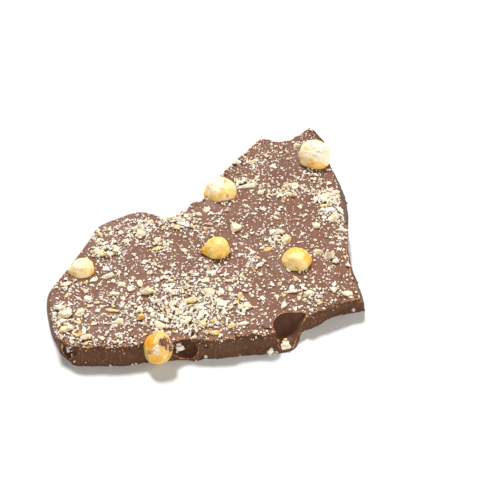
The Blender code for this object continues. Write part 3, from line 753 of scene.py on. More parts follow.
# %% Carve the slab
# What the break left open: centre, half sizes and how rough.
OPEN_SOCKETS = {
    "lost_nut_socket": ((-7.5, -70.3, 4.9), (5.5, 6.8, 4.2), 0.10),
    "cup_socket": ((33.2, -58.5, 7.2), (5.9, 7.4, 6.9), 0.02),
    "cup_mouth": ((33.6, -63.4, 3.3), (4.1, 3.6, 3.0), 0.06),
    "cup_ear": ((38.0, -54.7, 8.4), (3.7, 2.7, 3.4), 0.02),
    "corner_pocket": ((-55.3, -69.9, 4.8), (2.9, 2.9, 3.5), 0.30),
    "small_pit": ((-4.8, -63.4, 9.4), (1.3, 1.4, 1.7), 0.30),
}
# Where a hollow bulges to one side, smoothly: which way, how far as a share of its radius, and how wide.
NO_LOBE = ((1.0, 0.0, 0.0), 0.0, 1.0)
LOBES = {"cup_socket": ((0.83, 0.52, 0.18), 0.62, 0.45), "corner_pocket": ((0.95, 0.25, 0.10), 0.60, 0.80)}
# Small dishes where no more than a crumb came away, too shallow for the plain shard.
SMALL_CHIPS = {
    "chip_by_the_socket": ((0.9, -69.3, 6.2), (2.0, 1.9, 1.7), 0.25),
    "chip_above_the_socket": ((-11.4, -70.4, 8.2), (1.6, 2.6, 1.5), 0.30),
    "chip_at_the_corner": ((-51.6, -72.6, 6.8), (1.6, 1.5, 1.5), 0.35),
    "chip_by_the_cup": ((27.0, -67.2, 1.0), (2.4, 1.6, 1.5), 0.30),
}
FINE_TOP_GRID = 1.15 * MM
SOCKET_DETAIL = 5
SOCKET_UNEVEN = 0.05
SOCKET_SCALE = 1.7
SOCKET_ROUGH_SCALE = 4.5
BLOCK_MARGIN = Vector((12 * MM, 12 * MM))

def poured_block(low, high, step):
    """The pour before it was broken: flat below, gently uneven above, larger than the shard all round."""
    bm = bmesh.new()
    columns = math.ceil((high.x - low.x) / step)
    rows = math.ceil((high.y - low.y) / step)
    made = bmesh.ops.create_grid(bm, x_segments=columns, y_segments=rows, size=0.5)
    middle = (low + high) / 2
    bmesh.ops.scale(bm, vec=(high.x - low.x, high.y - low.y, 1), verts=made["verts"])
    bmesh.ops.translate(bm, vec=(middle.x, middle.y, 0), verts=made["verts"])
    foot = list(bm.faces)
    raised = bmesh.ops.extrude_face_region(bm, geom=foot)
    bmesh.ops.dissolve_faces(bm, faces=[f for f in foot if f.is_valid])
    for vert in (g for g in raised["geom"] if isinstance(g, bmesh.types.BMVert)):
        vert.co.z = fine_top(vert.co.x, vert.co.y)
    bmesh.ops.recalc_face_normals(bm, faces=bm.faces)
    return bm

def socket(centre, half_sizes, rough, lobe=NO_LOBE):
    """The hollow that a lost nut or a chip leaves, a little uneven."""
    way, bulge, width = Vector(lobe[0]).normalized(), lobe[1], lobe[2]
    bm = bmesh.new()
    bmesh.ops.create_icosphere(bm, subdivisions=SOCKET_DETAIL, radius=1.0)
    for vert in bm.verts:
        uneven = 1 + SOCKET_UNEVEN * noise.noise(vert.co * SOCKET_SCALE + Vector(centre))
        uneven += rough * noise.fractal(vert.co * SOCKET_ROUGH_SCALE, 0.8, 2.0, 2)
        uneven += bulge * hump(vert.co.angle(way), width)
        vert.co = Vector(c + s * v * uneven for c, s, v in zip(centre, half_sizes, vert.co)) * MM
    return bm

def apply_boolean(body, operation, tools):
    """Cuts the body with all the tools at once, and removes them."""
    collection = bpy.data.collections.new(operation.lower())
    bpy.context.scene.collection.children.link(collection)
    for tool in tools:
        bpy.context.scene.collection.objects.unlink(tool)
        collection.objects.link(tool)
    cut = body.modifiers.new(operation.lower(), "BOOLEAN")
    cut.operation = operation
    cut.operand_type = "COLLECTION"
    cut.collection = collection
    cut.solver = "EXACT"
    cut.material_mode = "TRANSFER"
    bpy.context.view_layer.update()
    result = bpy.data.meshes.new_from_object(body.evaluated_get(bpy.context.evaluated_depsgraph_get()))
    body.modifiers.clear()
    body.data = result
    for tool in tools:
        bpy.data.objects.remove(tool)
    bpy.data.collections.remove(collection)

def drop_strays(bm):
    """Keeps the largest connected part of a mesh and deletes the rest."""
    part = {}
    for start in bm.faces:
        front = [start]
        while front:
            face = front.pop()
            if face not in part:
                part[face] = start
                front += [other for edge in face.edges for other in edge.link_faces]
    starts = list(part.values())
    largest = max(set(starts), key=starts.count)
    strays = [face for face in bm.faces if part[face] != largest]
    bmesh.ops.delete(bm, geom=strays, context="FACES")
    return len(strays)

def clean_cut(body):
    """Deletes faces that lie back to back with nothing between them, and then the loose splinters."""
    bm = bmesh.new()
    bm.from_mesh(body.data)
    by_corners = {}
    for face in bm.faces:
        by_corners.setdefault(frozenset(face.verts), []).append(face)
    doubled = [face for faces in by_corners.values() if len(faces) > 1 for face in faces]
    bmesh.ops.delete(bm, geom=doubled, context="FACES")
    strays = drop_strays(bm)
    bm.to_mesh(body.data)
    bm.free()
    return len(doubled), strays

def carve_slab():
    corners = [point.xy for point, *_ in RIM]
    low = Vector((min(p.x for p in corners), min(p.y for p in corners))) - BLOCK_MARGIN
    high = Vector((max(p.x for p in corners), max(p.y for p in corners))) + BLOCK_MARGIN
    made = object_from(broken_blank(RIM), "chocolate_slab", BROKEN)
    apply_boolean(made, "INTERSECT", [object_from(poured_block(low, high, FINE_TOP_GRID), "pour", POURED)])
    tools = []
    for name, sizes in HAZELNUTS.items():
        tools.append(object_from(hazelnut(*sizes, SOCKET_DETAIL), "bed_" + name, BEDDING))
    for name, sizes in OPEN_SOCKETS.items():
        hollow = socket(*sizes, LOBES.get(name, NO_LOBE))
        tools.append(object_from(hollow, name, POURED if name == "small_pit" else HOLLOW))
    for name, sizes in SMALL_CHIPS.items():
        tools.append(object_from(socket(*sizes), name, BROKEN))
    apply_boolean(made, "DIFFERENCE", tools)
    return made

slab = carve_slab()
print("faces dropped as slivers and as splinters:", *clean_cut(slab))
print("slab faces:", len(slab.data.polygons), "finishes:", [m.name for m in slab.data.materials])

# %% [markdown]
# Chopped nut falls in heaps from a hand, so its thickness is a low even scatter with a soft hump for each
# heap. The slab's finish and the places of the crumbs both read it.

# %% Chopped nut drifts
# Over a thin even scatter the nut lies in drifts: (x, y, half width, half depth) and how thick.
DRIFTS = [
    (-4, -47, 26, 29, 1.0), (-12, -44, 13, 22, 0.7), (8, -50, 13, 19, 0.7), (-42, -10, 8, 10, 1.0),
    (-27, -3, 8, 12, 1.0), (-12, 5, 9, 6, 0.9), (-42, -30, 8, 9, 0.5), (21, 42, 5, 9, 0.8),
    (33, 24, 9, 8, 0.9), (55, 18, 6, 15, 1.0), (29, -6, 5, 8, 0.7), (20, -22, 4, 7, 0.7),
    (-53, -59, 9, 14, 0.7), (-38, -52, 7, 14, 0.65), (43, -39, 15, 9, 0.3), (14, -4, 17, 16, 0.3),
    (-31, -39, 17, 13, 0.3),
]
EVEN_SCATTER = 0.12

# The finer crumbs fell in smaller heaps, as each pinch left the fingers, with fewer between the heaps.
FINE_SCATTER = 0.06
PINCHES = [
    (-44, -5, 5, 9, 0.17), (-29, -1, 6, 5, 0.56), (-13, 4, 7, 4, 0.71), (-20, -12, 3, 5, 0.75),
    (-43, -16, 5, 3, 1.8), (-40, -22, 5, 3, 0.06), (-41, -30, 5, 4, 0.09), (-31, -36, 7, 4, 0.13),
    (-56, -37, 5, 3, 0.18), (-36, -44, 6, 5, 0.14), (-58, -53, 3, 4, 1.78), (-50, -53, 3, 3, 0.43),
    (-56, -62, 4, 4, 0.54), (-49, -64, 3, 3, 0.07), (-39, -55, 5, 5, 0.26), (-30, -56, 5, 6, 0.17),
    (-35, -66, 5, 3, 0.21), (-23, -47, 5, 6, 0.05), (-8, -39, 8, 6, 0.34), (1, -39, 6, 8, 0.12),
    (-10, -53, 11, 8, 0.76), (4, -51, 7, 8, 0.33), (-19, -60, 5, 4, 0.2), (15, -48, 3, 5, 0.42),
    (11, -59, 6, 4, 0.11), (4, -26, 8, 4, 0.15), (13, -33, 5, 4, 0.21), (21, -21, 3, 5, 0.42),
    (-14, -28, 6, 4, 0.05), (-1, -3, 4, 3, 0.23), (-23, -22, 4, 4, 0.05), (22, 44, 6, 6, 0.14),
    (33, 57, 5, 4, 0.05), (36, 26, 7, 4, 0.59), (17, 30, 4, 3, 1.69), (54, 22, 5, 4, 1.6),
    (56, 11, 5, 4, 1.13), (58, -4, 2, 8, 0.28), (30, -6, 4, 5, 0.58), (52, -17, 3, 4, 0.44),
    (43, -41, 4, 3, 0.81), (53, -38, 3, 3, 0.1), (17, 13, 4, 3, 0.05), (3, 9, 4, 3, 0.05),
    (21, -35, 3, 3, 0.05), (46, 37, 5, 3, 0.26), (39, -48, 4, 3, 0.12), (-44, -39, 3, 3, 0.05),
    (-3, -21, 3, 3, 0.05), (-7, -15, 3, 4, 0.09), (-48, -68, 6, 2, 0.28), (-34, -69, 6, 2, 0.27),
]

def crumb_density(x, y, drifts=DRIFTS, even=EVEN_SCATTER):
    """How thick the chopped nut lies at a place, from 0 to about 2, with x and y in millimetres."""
    total = even
    for middle_x, middle_y, half_width, half_depth, weight in drifts:
        total += weight * np.exp(-(((x - middle_x) / half_width) ** 2) - ((y - middle_y) / half_depth) ** 2)
    return total

print("chopped nut in the middle of the front drift:", round(float(crumb_density(-4, -47)), 2))

# %% [markdown]
# The slab's mesh now gets what its finishes read. "from_edge" is the distance to the nearest crisp edge,
# an edge between two finishes, and "crumb_cover" is how thick the chopped nut lies there. Distances
# interpolate well across a face, so the band of wear and painted highlight stays thin even where the
# faces are large.

# %% Mark the slab
EDGE_SPACING = 0.3 * MM
FOOT_LEVEL = 0.6 * MM
FAR_FROM_EDGE = 5 * MM
TRAY_LEVEL = 0.1 * MM
CRISP_ANGLE = math.radians(38)

def point_tree(points):
    """What finds the nearest of some points."""
    tree = kdtree.KDTree(len(points))
    for n, point in enumerate(points):
        tree.insert(point, n)
    tree.balance()
    return tree

def assign_underside(mesh):
    mesh.materials.append(UNDERSIDE)
    for face in mesh.polygons:
        if face.normal.z < -0.9 and face.center.z < TRAY_LEVEL:
            face.material_index = len(mesh.materials) - 1

def finish_poured_edge(mesh):
    """The poured edge never broke, so its wall gets the poured finish."""
    names = [m.name for m in mesh.materials]
    tree = point_tree([(point.x, point.y, 0) for point, *_ in RIM])
    for face in mesh.polygons:
        if face.material_index == names.index(BROKEN.name):
            roundness = RIM[tree.find((face.center.x, face.center.y, 0))[1]][2][0]
            if roundness > 0.5:
                face.material_index = names.index(POURED.name)

def crisp_edge_points(mesh):
    """Points along every edge between two finishes, leaving out the nuts' beds and the foot."""
    names = [m.name for m in mesh.materials]
    left_out = {names.index(BEDDING.name), names.index(UNDERSIDE.name)}
    finishes = {}
    for face in mesh.polygons:
        for key in face.edge_keys:
            finishes.setdefault(key, set()).add(face.material_index)
    points = []
    for (a, b), found in finishes.items():
        start, end = mesh.vertices[a].co, mesh.vertices[b].co
        if len(found) < 2 or found & left_out or max(start.z, end.z) < FOOT_LEVEL:
            continue
        steps = 1 + int((end - start).length / EDGE_SPACING)
        points += [start.lerp(end, k / steps) for k in range(steps + 1)]
    return points

def add_values(mesh, name, values):
    made = mesh.attributes.new(name, "FLOAT", "POINT")
    made.data.foreach_set("value", np.asarray(values, np.float32))

def mark_slab(mesh):
    assign_underside(mesh)
    finish_poured_edge(mesh)
    points = crisp_edge_points(mesh)
    tree = point_tree(points)
    add_values(mesh, "from_edge", [min(FAR_FROM_EDGE, tree.find(v.co)[2]) for v in mesh.vertices])
    places = np.array([v.co for v in mesh.vertices]) / MM
    add_values(mesh, "crumb_cover", crumb_density(places[:, 0], places[:, 1], PINCHES, FINE_SCATTER))
    mesh.shade_smooth()
    mesh.set_sharp_from_angle(angle=CRISP_ANGLE)
    return len(points)

print("crisp edge points:", mark_slab(slab.data))

# %% [markdown]
# The six whole nuts. Every one is its own shape and has its own colours: the left one waxy and pale, the
# pointed one the yellowest, the two at the back floury on top. The marks are painted from the front, as
# one would with a brush: how far right and up on the nut's face they are, how large, and how strong. The
# deep orange marks lie mostly on the lower sides and edges, and are partly painted shade.
# Where a nut is floury its outer skin has flaked off in plates, so the mesh is pressed in there.

# %% Make the hazelnuts
NUT_DETAIL = 6
FACE_UP = Vector((0.0, 0.669, 0.743))
FACE_OUT = Vector((0.0, -0.743, 0.669))
# For each nut: pale colour and the colour of its deep orange and shaded places, then its marks as (right,
# up, size, strength), where lengths are shares of the radius.
NUT_LOOKS = {
    "hazelnut_left_edge": ((0.97, 0.75, 0.44), (0.95, 0.58, 0.16), {
        "deep_and_shaded": [(0.85, -0.1, 0.5, 0.8), (0.1, -0.9, 0.7, 0.8), (-0.6, -0.5, 0.5, 0.6)],
        "floury": [(-0.2, 0.5, 0.6, 0.55), (-0.6, 0.1, 0.3, 0.4)], "spot": [],
    }),
    "hazelnut_pointed": ((0.98, 0.68, 0.22), (0.92, 0.48, 0.05), {
        "deep_and_shaded": [(-1.0, -0.2, 0.55, 1.0), (0.5, -0.6, 0.7, 0.45), (-0.2, 0.7, 0.4, 0.4)],
        "floury": [(0.12, 0.55, 0.22, 0.6), (0.45, 0.3, 0.2, 0.4)],
        "spot": [(-1.0, -0.1, 0.3, 1.0)],
    }),
    "hazelnut_back_edge": ((0.95, 0.77, 0.45), (0.93, 0.61, 0.19), {
        "deep_and_shaded": [
            (-0.3, -0.75, 0.85, 0.9), (0.8, -0.1, 0.6, 0.9), (-0.95, -0.2, 0.5, 0.8), (0.2, 0.1, 0.3, 0.6),
        ],
        "floury": [(-0.35, 0.5, 0.6, 0.9), (0.5, 0.5, 0.3, 0.4)],
        "spot": [(0.32, 0.72, 0.15, 0.9), (0.47, -0.2, 0.16, 0.9), (0.1, 0.25, 0.1, 0.5)],
    }),
    "hazelnut_top_corner": ((0.95, 0.78, 0.52), (0.96, 0.61, 0.17), {
        "deep_and_shaded": [
            (-0.1, -0.7, 0.6, 1.0), (0.4, -0.75, 0.5, 1.0), (-0.5, 0.48, 0.25, 0.9), (-0.15, -0.4, 0.4, 0.8),
        ],
        "floury": [(0.1, 0.4, 0.85, 1.0), (0.7, -0.1, 0.5, 0.9), (0.1, 0.05, 0.38, 0.9)],
        "spot": [
            (-0.21, -0.5, 0.12, 0.7), (-0.92, -0.2, 0.25, 0.45), (0.15, 0.2, 0.08, 0.4),
            (0.35, 0.4, 0.07, 0.4),
        ],
    }),
    "hazelnut_right": ((0.97, 0.74, 0.33), (0.92, 0.51, 0.07), {
        "deep_and_shaded": [(0.85, 0.3, 0.6, 1.0), (0.9, -0.3, 0.4, 0.9), (-0.3, 0.85, 0.5, 0.9), (0.4, 0.85, 0.5, 0.9)],
        "floury": [(0.2, 0.5, 0.2, 0.3)], "spot": [(0.0, -0.5, 0.14, 0.7), (-0.12, -0.4, 0.08, 0.5)],
    }),
    "hazelnut_front_break": ((0.80, 0.57, 0.18), (0.80, 0.37, 0.02), {
        "deep_and_shaded": [
            (-0.63, 0.67, 0.75, 1.0), (-0.43, 0.24, 0.4, 0.9), (0.85, -0.4, 0.4, 0.6), (-0.2, -0.7, 0.7, 0.5),
        ],
        "floury": [
            (-0.17, -0.08, 0.34, 1.0), (0.0, 0.7, 0.25, 0.4), (0.5, -0.55, 0.2, 0.45), (0.05, 0.25, 0.2, 0.5),
        ],
        "spot": [
            (-0.52, -0.18, 0.18, 1.0), (-0.38, -0.1, 0.16, 0.9), (-0.22, -0.05, 0.12, 0.9),
            (-0.05, -0.2, 0.09, 0.8),
        ],
    }),
}
# How ragged a mark is, and how much of it is at full strength, as shares of its size.
MARK_RAGGED = 0.6
MARK_CORE = 0.45
FLAKE_DEPTH = 0.035
FLAKE_SCALE = 5.0

def face_direction(right, up):
    """The direction from a nut's middle to a place on the face that it shows the camera."""
    depth = math.sqrt(max(0.0, 1 - right * right - up * up))
    return (Vector((right, 0, 0)) + FACE_UP * up + FACE_OUT * depth).normalized()

def mark_strength(direction, ragged, marks):
    """How strong the strongest of some marks is in one direction from the nut's middle."""
    strongest = 0.0
    for right, up, size, strength in marks:
        away = (direction - face_direction(right, up)).length + MARK_RAGGED * size * ragged
        strongest = max(strongest, strength * smooth_step(size, MARK_CORE * size, away))
    return strongest

def make_nut(name, sizes):
    """A whole hazelnut with its own finish, its marks, and its flaked skin."""
    pale, deep_and_shaded, marks = NUT_LOOKS[name]
    centre, radius = Vector(sizes[0]), sizes[1]
    finish = nut_finish(name, pale, deep_and_shaded)
    made = object_from(hazelnut(*sizes, NUT_DETAIL, relief=True), "roasted_" + name, finish)
    made.data.shade_smooth()
    directions = [(v.co - centre * MM).normalized() for v in made.data.vertices]
    ragged = [noise.noise(d * 4) + 0.5 * noise.noise(d * 11) for d in directions]
    strengths = {}
    for kind, found in marks.items():
        strengths[kind] = [mark_strength(d, r, found) for d, r in zip(directions, ragged)]
        add_values(made.data, kind, strengths[kind])
    for vert, direction, strength in zip(made.data.vertices, directions, strengths["floury"]):
        gone = smooth_step(-0.06, 0.06, noise.noise(direction * FLAKE_SCALE + centre))
        vert.co -= direction * FLAKE_DEPTH * radius * MM * gone * strength
    return made

nuts = {name: make_nut(name, sizes) for name, sizes in HAZELNUTS.items()}
print("triangles in a nut:", len(next(iter(nuts.values())).data.polygons))

# %% [markdown]
# When the front piece was broken off, the nut in the break kept a smear of chocolate. It is a patch of the
# nut's own surface, lifted a little and closed at the back, so it fits the nut exactly.

# %% Chocolate smear on the front nut
# Where the smear lies on the nut's face, right and up, and how wide, in radians.
SMEAR_LOBES = [(0.48, 0.50, 0.40), (0.72, 0.30, 0.36), (0.90, 0.05, 0.28)]
SMEAR_LIFT = 0.50 * MM
SMEAR_SUNK = 0.15 * MM
SMEAR_THICKNESS = 0.3 * MM
SMEAR_WEAR = 0.5 * MM
SMEAR_RAGGED = 0.12
SMEAR_FADE = 0.12
LUMP_LENGTH = 1.5 * MM
WORN_LENGTH = 0.9 * MM

def is_pinched(vert):
    """Whether a point is left alone, or is the only one where two parts of a patch touch."""
    return not vert.link_faces or sum(edge.is_boundary for edge in vert.link_edges) > 2

def make_smear():
    sizes = HAZELNUTS["hazelnut_front_break"]
    bm = hazelnut(*sizes, NUT_DETAIL)
    middle = Vector(sizes[0]) * MM
    lobes = [(face_direction(right, up), width) for right, up, width in SMEAR_LOBES]
    amount = {}
    for vert in bm.verts:
        direction = (vert.co - middle).normalized()
        ragged = SMEAR_RAGGED * noise.noise(direction * 3.5) + SMEAR_RAGGED * noise.noise(direction * 10)
        amount[vert] = max(width - direction.angle(way) for way, width in lobes) + ragged
    bmesh.ops.delete(bm, geom=[v for v in bm.verts if amount[v] < 0], context="VERTS")
    while pinched := [v for v in bm.verts if is_pinched(v)]:
        bmesh.ops.delete(bm, geom=pinched, context="VERTS")
    drop_strays(bm)
    for vert in bm.verts:
        lumps = 0.9 + 0.8 * noise.fractal(vert.co / LUMP_LENGTH, 0.8, 2.0, 3)
        lift = SMEAR_LIFT * smooth_step(0.0, SMEAR_FADE, amount[vert]) * max(0.5, lumps)
        vert.co += (vert.co - middle).normalized() * (lift - SMEAR_SUNK)
    bmesh.ops.solidify(bm, geom=list(bm.faces), thickness=SMEAR_THICKNESS)
    made = object_from(bm, "chocolate_smear", POURED)
    # How wide the band of wear and painted highlight is, at random over the smear.
    worn_and_lit = [SMEAR_WEAR * max(0.0, 0.45 + 1.2 * noise.noise(v.co / WORN_LENGTH)) for v in made.data.vertices]
    add_values(made.data, "from_edge", worn_and_lit)
    made.data.shade_smooth()
    return made

smear = make_smear()
print("smear faces:", len(smear.data.polygons))

# %% [markdown]
# Chopped nut. A knife leaves flat cuts and sharp corners, with here and there a bit of the round outside.
# So a chunk starts as a ball, and bisect_plane slices pieces off it. The smaller crumbs start as a turned
# cube, which leaves them all corners. They are repeated in their thousands, so they come from a few shapes
# with a few dozen faces.

# %% Shapes of crumbs
CHIP_CUTS = 4
CHIP_KINDS = 24
DUST_KINDS = 8
CUT_DEPTHS = (0.20, 0.40)

def random_way(rng):
    z = rng.uniform(-1, 1)
    turn = rng.uniform(0, 2 * math.pi)
    level = math.sqrt(1 - z * z)
    return Vector((level * math.cos(turn), level * math.sin(turn), z))

def chopped(rng, cuts, ball_detail=0):
    """A crumb 1 long: a ball or a turned cube with flats cut off it, then made to fill its box."""
    bm = bmesh.new()
    if ball_detail:
        bmesh.ops.create_icosphere(bm, subdivisions=ball_detail, radius=0.5)
    else:
        bmesh.ops.create_cube(bm, size=0.9)
        turned = random_way(rng).to_track_quat("Z", "Y").to_matrix()
        bmesh.ops.rotate(bm, matrix=turned, verts=bm.verts)
    for _ in range(cuts):
        way = random_way(rng)
        middle = way * rng.uniform(*CUT_DEPTHS)
        solid = [*bm.verts, *bm.edges, *bm.faces]
        bmesh.ops.bisect_plane(bm, geom=solid, dist=1e-5, plane_co=middle, plane_no=way, clear_outer=True)
        bmesh.ops.holes_fill(bm, edges=[e for e in bm.edges if e.is_boundary])
    for axis in range(3):
        low = min(v.co[axis] for v in bm.verts)
        high = max(v.co[axis] for v in bm.verts)
        for vert in bm.verts:
            vert.co[axis] = (vert.co[axis] - low) / (high - low) - 0.5
    bmesh.ops.triangulate(bm, faces=bm.faces)
    return bm

def as_arrays(bm):
    """A shape's points and triangles as arrays, which can be copied by the thousand."""
    bm.verts.ensure_lookup_table()
    points = np.array([v.co for v in bm.verts])
    triangles = np.array([[v.index for v in f.verts] for f in bm.faces])
    bm.free()
    return points, triangles

def knobbly(rng):
    """The smallest crumbs: a cube pulled out of shape."""
    bm = bmesh.new()
    bmesh.ops.create_cube(bm, size=0.75)
    for vert in bm.verts:
        vert.co *= rng.uniform(0.72, 1.15)
    bmesh.ops.triangulate(bm, faces=bm.faces)
    return bm

shape_rng = random.Random(3)
CHIP_SHAPES = [as_arrays(chopped(shape_rng, CHIP_CUTS)) for _ in range(CHIP_KINDS)]
DUST_SHAPES = [as_arrays(knobbly(shape_rng)) for _ in range(DUST_KINDS)]
print("triangles: chip", len(CHIP_SHAPES[0][1]), "dust", len(DUST_SHAPES[0][1]))

# %% [markdown]
# Where the larger crumbs lie was settled with the plain shard: the chunks one by one, the grains by drawing
# places at random and keeping those that fit. The same seed and the same order of draws give the same
# places here, so the dressed shard keeps the plain one's form.

# %% Places of the larger crumbs
# Each chunk: x, y, length, width, and how far it is turned, in degrees.
CHUNKS = [
    (-23.1, 7.0, 4.7, 3.9, 10), (-29.0, -3.9, 5.6, 5.2, 30), (-21.5, -8.3, 3.4, 3.0, 60),
    (-41.9, -17.4, 7.7, 2.6, 22), (-21.2, -13.4, 5.6, 2.1, 20), (-58.0, -35.8, 3.9, 2.6, 15),
    (-57.0, -53.4, 6.5, 4.7, 10), (-50.2, -52.2, 5.2, 3.4, 40), (-56.0, -61.7, 4.3, 3.9, 70),
    (-49.9, -64.6, 3.9, 2.1, 25), (-34.7, -35.7, 3.4, 3.0, 50), (-37.2, -41.1, 3.9, 2.6, 160),
    (-37.8, -51.0, 6.9, 1.7, 170), (-21.0, -53.1, 3.4, 2.6, 90), (-17.9, -59.5, 5.2, 3.4, 150),
    (-6.3, -44.9, 6.0, 3.0, 15), (-7.2, -56.3, 5.2, 4.3, 20), (17.4, 28.4, 8.2, 2.6, 12),
    (23.6, 24.3, 3.0, 3.0, 0), (12.0, -0.2, 5.6, 5.2, 60), (36.2, 23.7, 4.3, 2.6, 20),
    (52.2, 21.9, 5.2, 3.4, 10), (51.9, 15.7, 5.2, 2.1, 5), (55.0, 6.9, 5.6, 3.9, 15),
    (47.3, 2.2, 3.9, 3.9, 45), (29.8, -2.6, 3.9, 2.6, 20), (34.0, -7.1, 4.3, 4.3, 110),
    (47.5, -14.6, 3.9, 3.0, 160), (52.0, -17.5, 3.9, 3.9, 60), (42.2, -40.3, 5.2, 3.4, 10),
    (52.7, -37.8, 3.4, 3.0, 70), (58.3, -40.2, 4.7, 3.0, 0), (1.4, -40.7, 5.2, 4.7, 0),
    (17.5, -47.5, 4.3, 3.9, 160), (5.6, -45.3, 3.9, 3.4, 20), (15.4, -57.8, 4.7, 2.1, 15),
    (3.8, -63.2, 5.6, 2.6, 8), (32.2, -47.4, 3.4, 2.6, 90), (40.6, 58.4, 3.0, 3.0, 40),
    (48.4, 37.3, 3.9, 2.6, 0), (-0.4, 11.7, 3.4, 2.6, 20), (26.2, -13.5, 4.3, 2.1, 20),
    (0.0, -33.0, 4.3, 2.6, 30), (-40.9, -30.4, 5.2, 3.0, 20), (-27.3, -35.0, 4.3, 3.0, 90),
    (-34.5, -57.2, 3.4, 3.4, 30), (-26.4, -50.3, 3.9, 2.6, 150), (10.0, -32.9, 3.9, 1.7, 10),
]
# Most chunks are cream. The tints of the others go by their place in the list.
CREAM_TINT = 0.38
CHUNK_TINTS = {4: 0.8, 12: 0.75, 9: 0.95, 8: 0.7, 36: 0.95, 15: 0.8, 27: 0.55, 26: 0.75, 41: 0.85, 22: 0.9}
CHUNK_HEIGHT = 0.60
GRAIN_COUNT = 200
GRAIN_SIZES = (1.5, 3.2)
GRAIN_WIDTHS = (0.6, 0.95)
SMALL_GRAIN_BIAS = 1.5
SUNK_SHARE = 0.34
CLEAR_OF_NUT = 0.6 * MM
CLEAR_OF_RIM = 0.5 * MM
CLEAR_OF_CRUMB = 0.3 * MM
PLAIN_RIM_STEP = 3.6 * MM
SEED = 7

def between(limits, share):
    """The number that lies at a share of the way from one limit to the other."""
    return limits[0] + (limits[1] - limits[0]) * share

def inside_rim(x, y, ring):
    """Whether a place is inside the rim, by counting the sides to its right, and how far from the rim."""
    crossings = 0
    nearest = math.inf
    for a, b in zip(ring, ring[1:] + ring[:1]):
        if (a[1] > y) != (b[1] > y) and x < a[0] + (y - a[1]) * (b[0] - a[0]) / (b[1] - a[1]):
            crossings += 1
        side = Vector((b[0] - a[0], b[1] - a[1]))
        along = max(0.0, min(1.0, Vector((x - a[0], y - a[1])).dot(side) / side.length_squared))
        nearest = min(nearest, math.hypot(x - a[0] - along * side.x, y - a[1] - along * side.y))
    return crossings % 2 == 1, nearest

def clear_of_hollows(x, y, reach):
    """Whether a crumb of that reach, in metres, lies clear of the nuts and of the open sockets."""
    for centre, radius, length, *_ in HAZELNUTS.values():
        if away_from(centre, x, y) < radius * length * MM + reach + CLEAR_OF_NUT:
            return False
    return all(
        away_from(centre, x, y) >= max(half[:2]) * MM + reach for centre, half, _ in OPEN_SOCKETS.values()
    )

def crumb_places(ring):
    """Every larger crumb as (x, y, length, width, turn, tint): the chunks, then the grains without a tint."""
    rng = random.Random(SEED)
    placed = []
    low = Vector((min(p[0] for p in ring), min(p[1] for p in ring)))
    high = Vector((max(p[0] for p in ring), max(p[1] for p in ring)))

    def fits(x, y, reach):
        inside, distance = inside_rim(x, y, ring)
        if not inside or distance < reach + CLEAR_OF_RIM or not clear_of_hollows(x, y, reach):
            return False
        return all(math.hypot(x - p[0], y - p[1]) > reach + p[2] / 2 + CLEAR_OF_CRUMB for p in placed)

    for n, (x, y, length, width, turn) in enumerate(CHUNKS):
        if fits(x * MM, y * MM, 0.5 * max(length, width) * MM):
            tint = CHUNK_TINTS.get(n, CREAM_TINT)
            placed.append((x * MM, y * MM, length * MM, width * MM, math.radians(turn), tint))
    wanted = len(placed) + GRAIN_COUNT
    while len(placed) < wanted:
        x, y = rng.uniform(low.x, high.x), rng.uniform(low.y, high.y)
        size = between(GRAIN_SIZES, rng.random() ** SMALL_GRAIN_BIAS)
        turn, narrow = rng.uniform(0, math.pi), rng.uniform(*GRAIN_WIDTHS)
        keep = rng.random() < crumb_density(x / MM, y / MM)
        if keep and fits(x, y, 0.5 * size * MM):
            placed.append((x, y, size * MM, size * narrow * MM, turn, None))
    return placed

plain_ring = [(point.x, point.y) for point, *_ in rim_samples(PLAIN_RIM_STEP)]
larger = crumb_places(plain_ring)
chunk_places = [p for p in larger if p[5] is not None]
grain_places = [p for p in larger if p[5] is None]
print("chunks:", len(chunk_places), "grains:", len(grain_places))

# %% [markdown]
# The finer crumbs are drawn in one go as arrays. A relief map of the strewn top, in small cells, keeps
# track of how high the nut already lies, so later crumbs rest on earlier ones where a drift is thick. Most
# of those that would land on a large piece roll off it, so they are left out, and its top stays clean.
# Whether a place is on the top at all is asked of the slab itself, with rays dropped on it.

# %% Places of the finer crumbs
CELL = 0.25 * MM
SETTLED_SHARE = 0.75
# How high rays start, and how far below the plain top they may end on it.
DROP_HEIGHT = 20 * MM
STEEPEST = 0.6 * MM
# Crumbs lie thickest where crumb_density is THICKEST. Above CLEAN_TOP only a few are left lying.
THICKEST = 2.0
CLEAN_TOP = 0.48 * MM
LEFT_ON_TOP = 0.16
REACH_SHARE = 0.30

fine_ring = np.array([wall_point(sample, 1.0).xy for sample in RIM])
MAP_LOW = fine_ring.min(axis=0)
MAP_SPAN = fine_ring.max(axis=0) - MAP_LOW
strewn = np.zeros(np.ceil(MAP_SPAN / CELL).astype(int) + 1)

def cell_at(x, y):
    return int((x - MAP_LOW[0]) / CELL), int((y - MAP_LOW[1]) / CELL)

def surface_tree(pieces):
    """What rays and find_nearest search: the faces of some pieces."""
    points, faces = [], []
    for piece in pieces:
        start = len(points)
        points += [v.co for v in piece.data.vertices]
        faces += [tuple(start + v for v in p.vertices) for p in piece.data.polygons]
    return BVHTree.FromPolygons(points, faces)

slab_surface = surface_tree([slab])

def level_under(x, y):
    """How high a ray dropped there meets the slab: 0 beside it."""
    met = slab_surface.ray_cast((x, y, DROP_HEIGHT), (0, 0, -1))[0]
    return met.z if met else 0.0

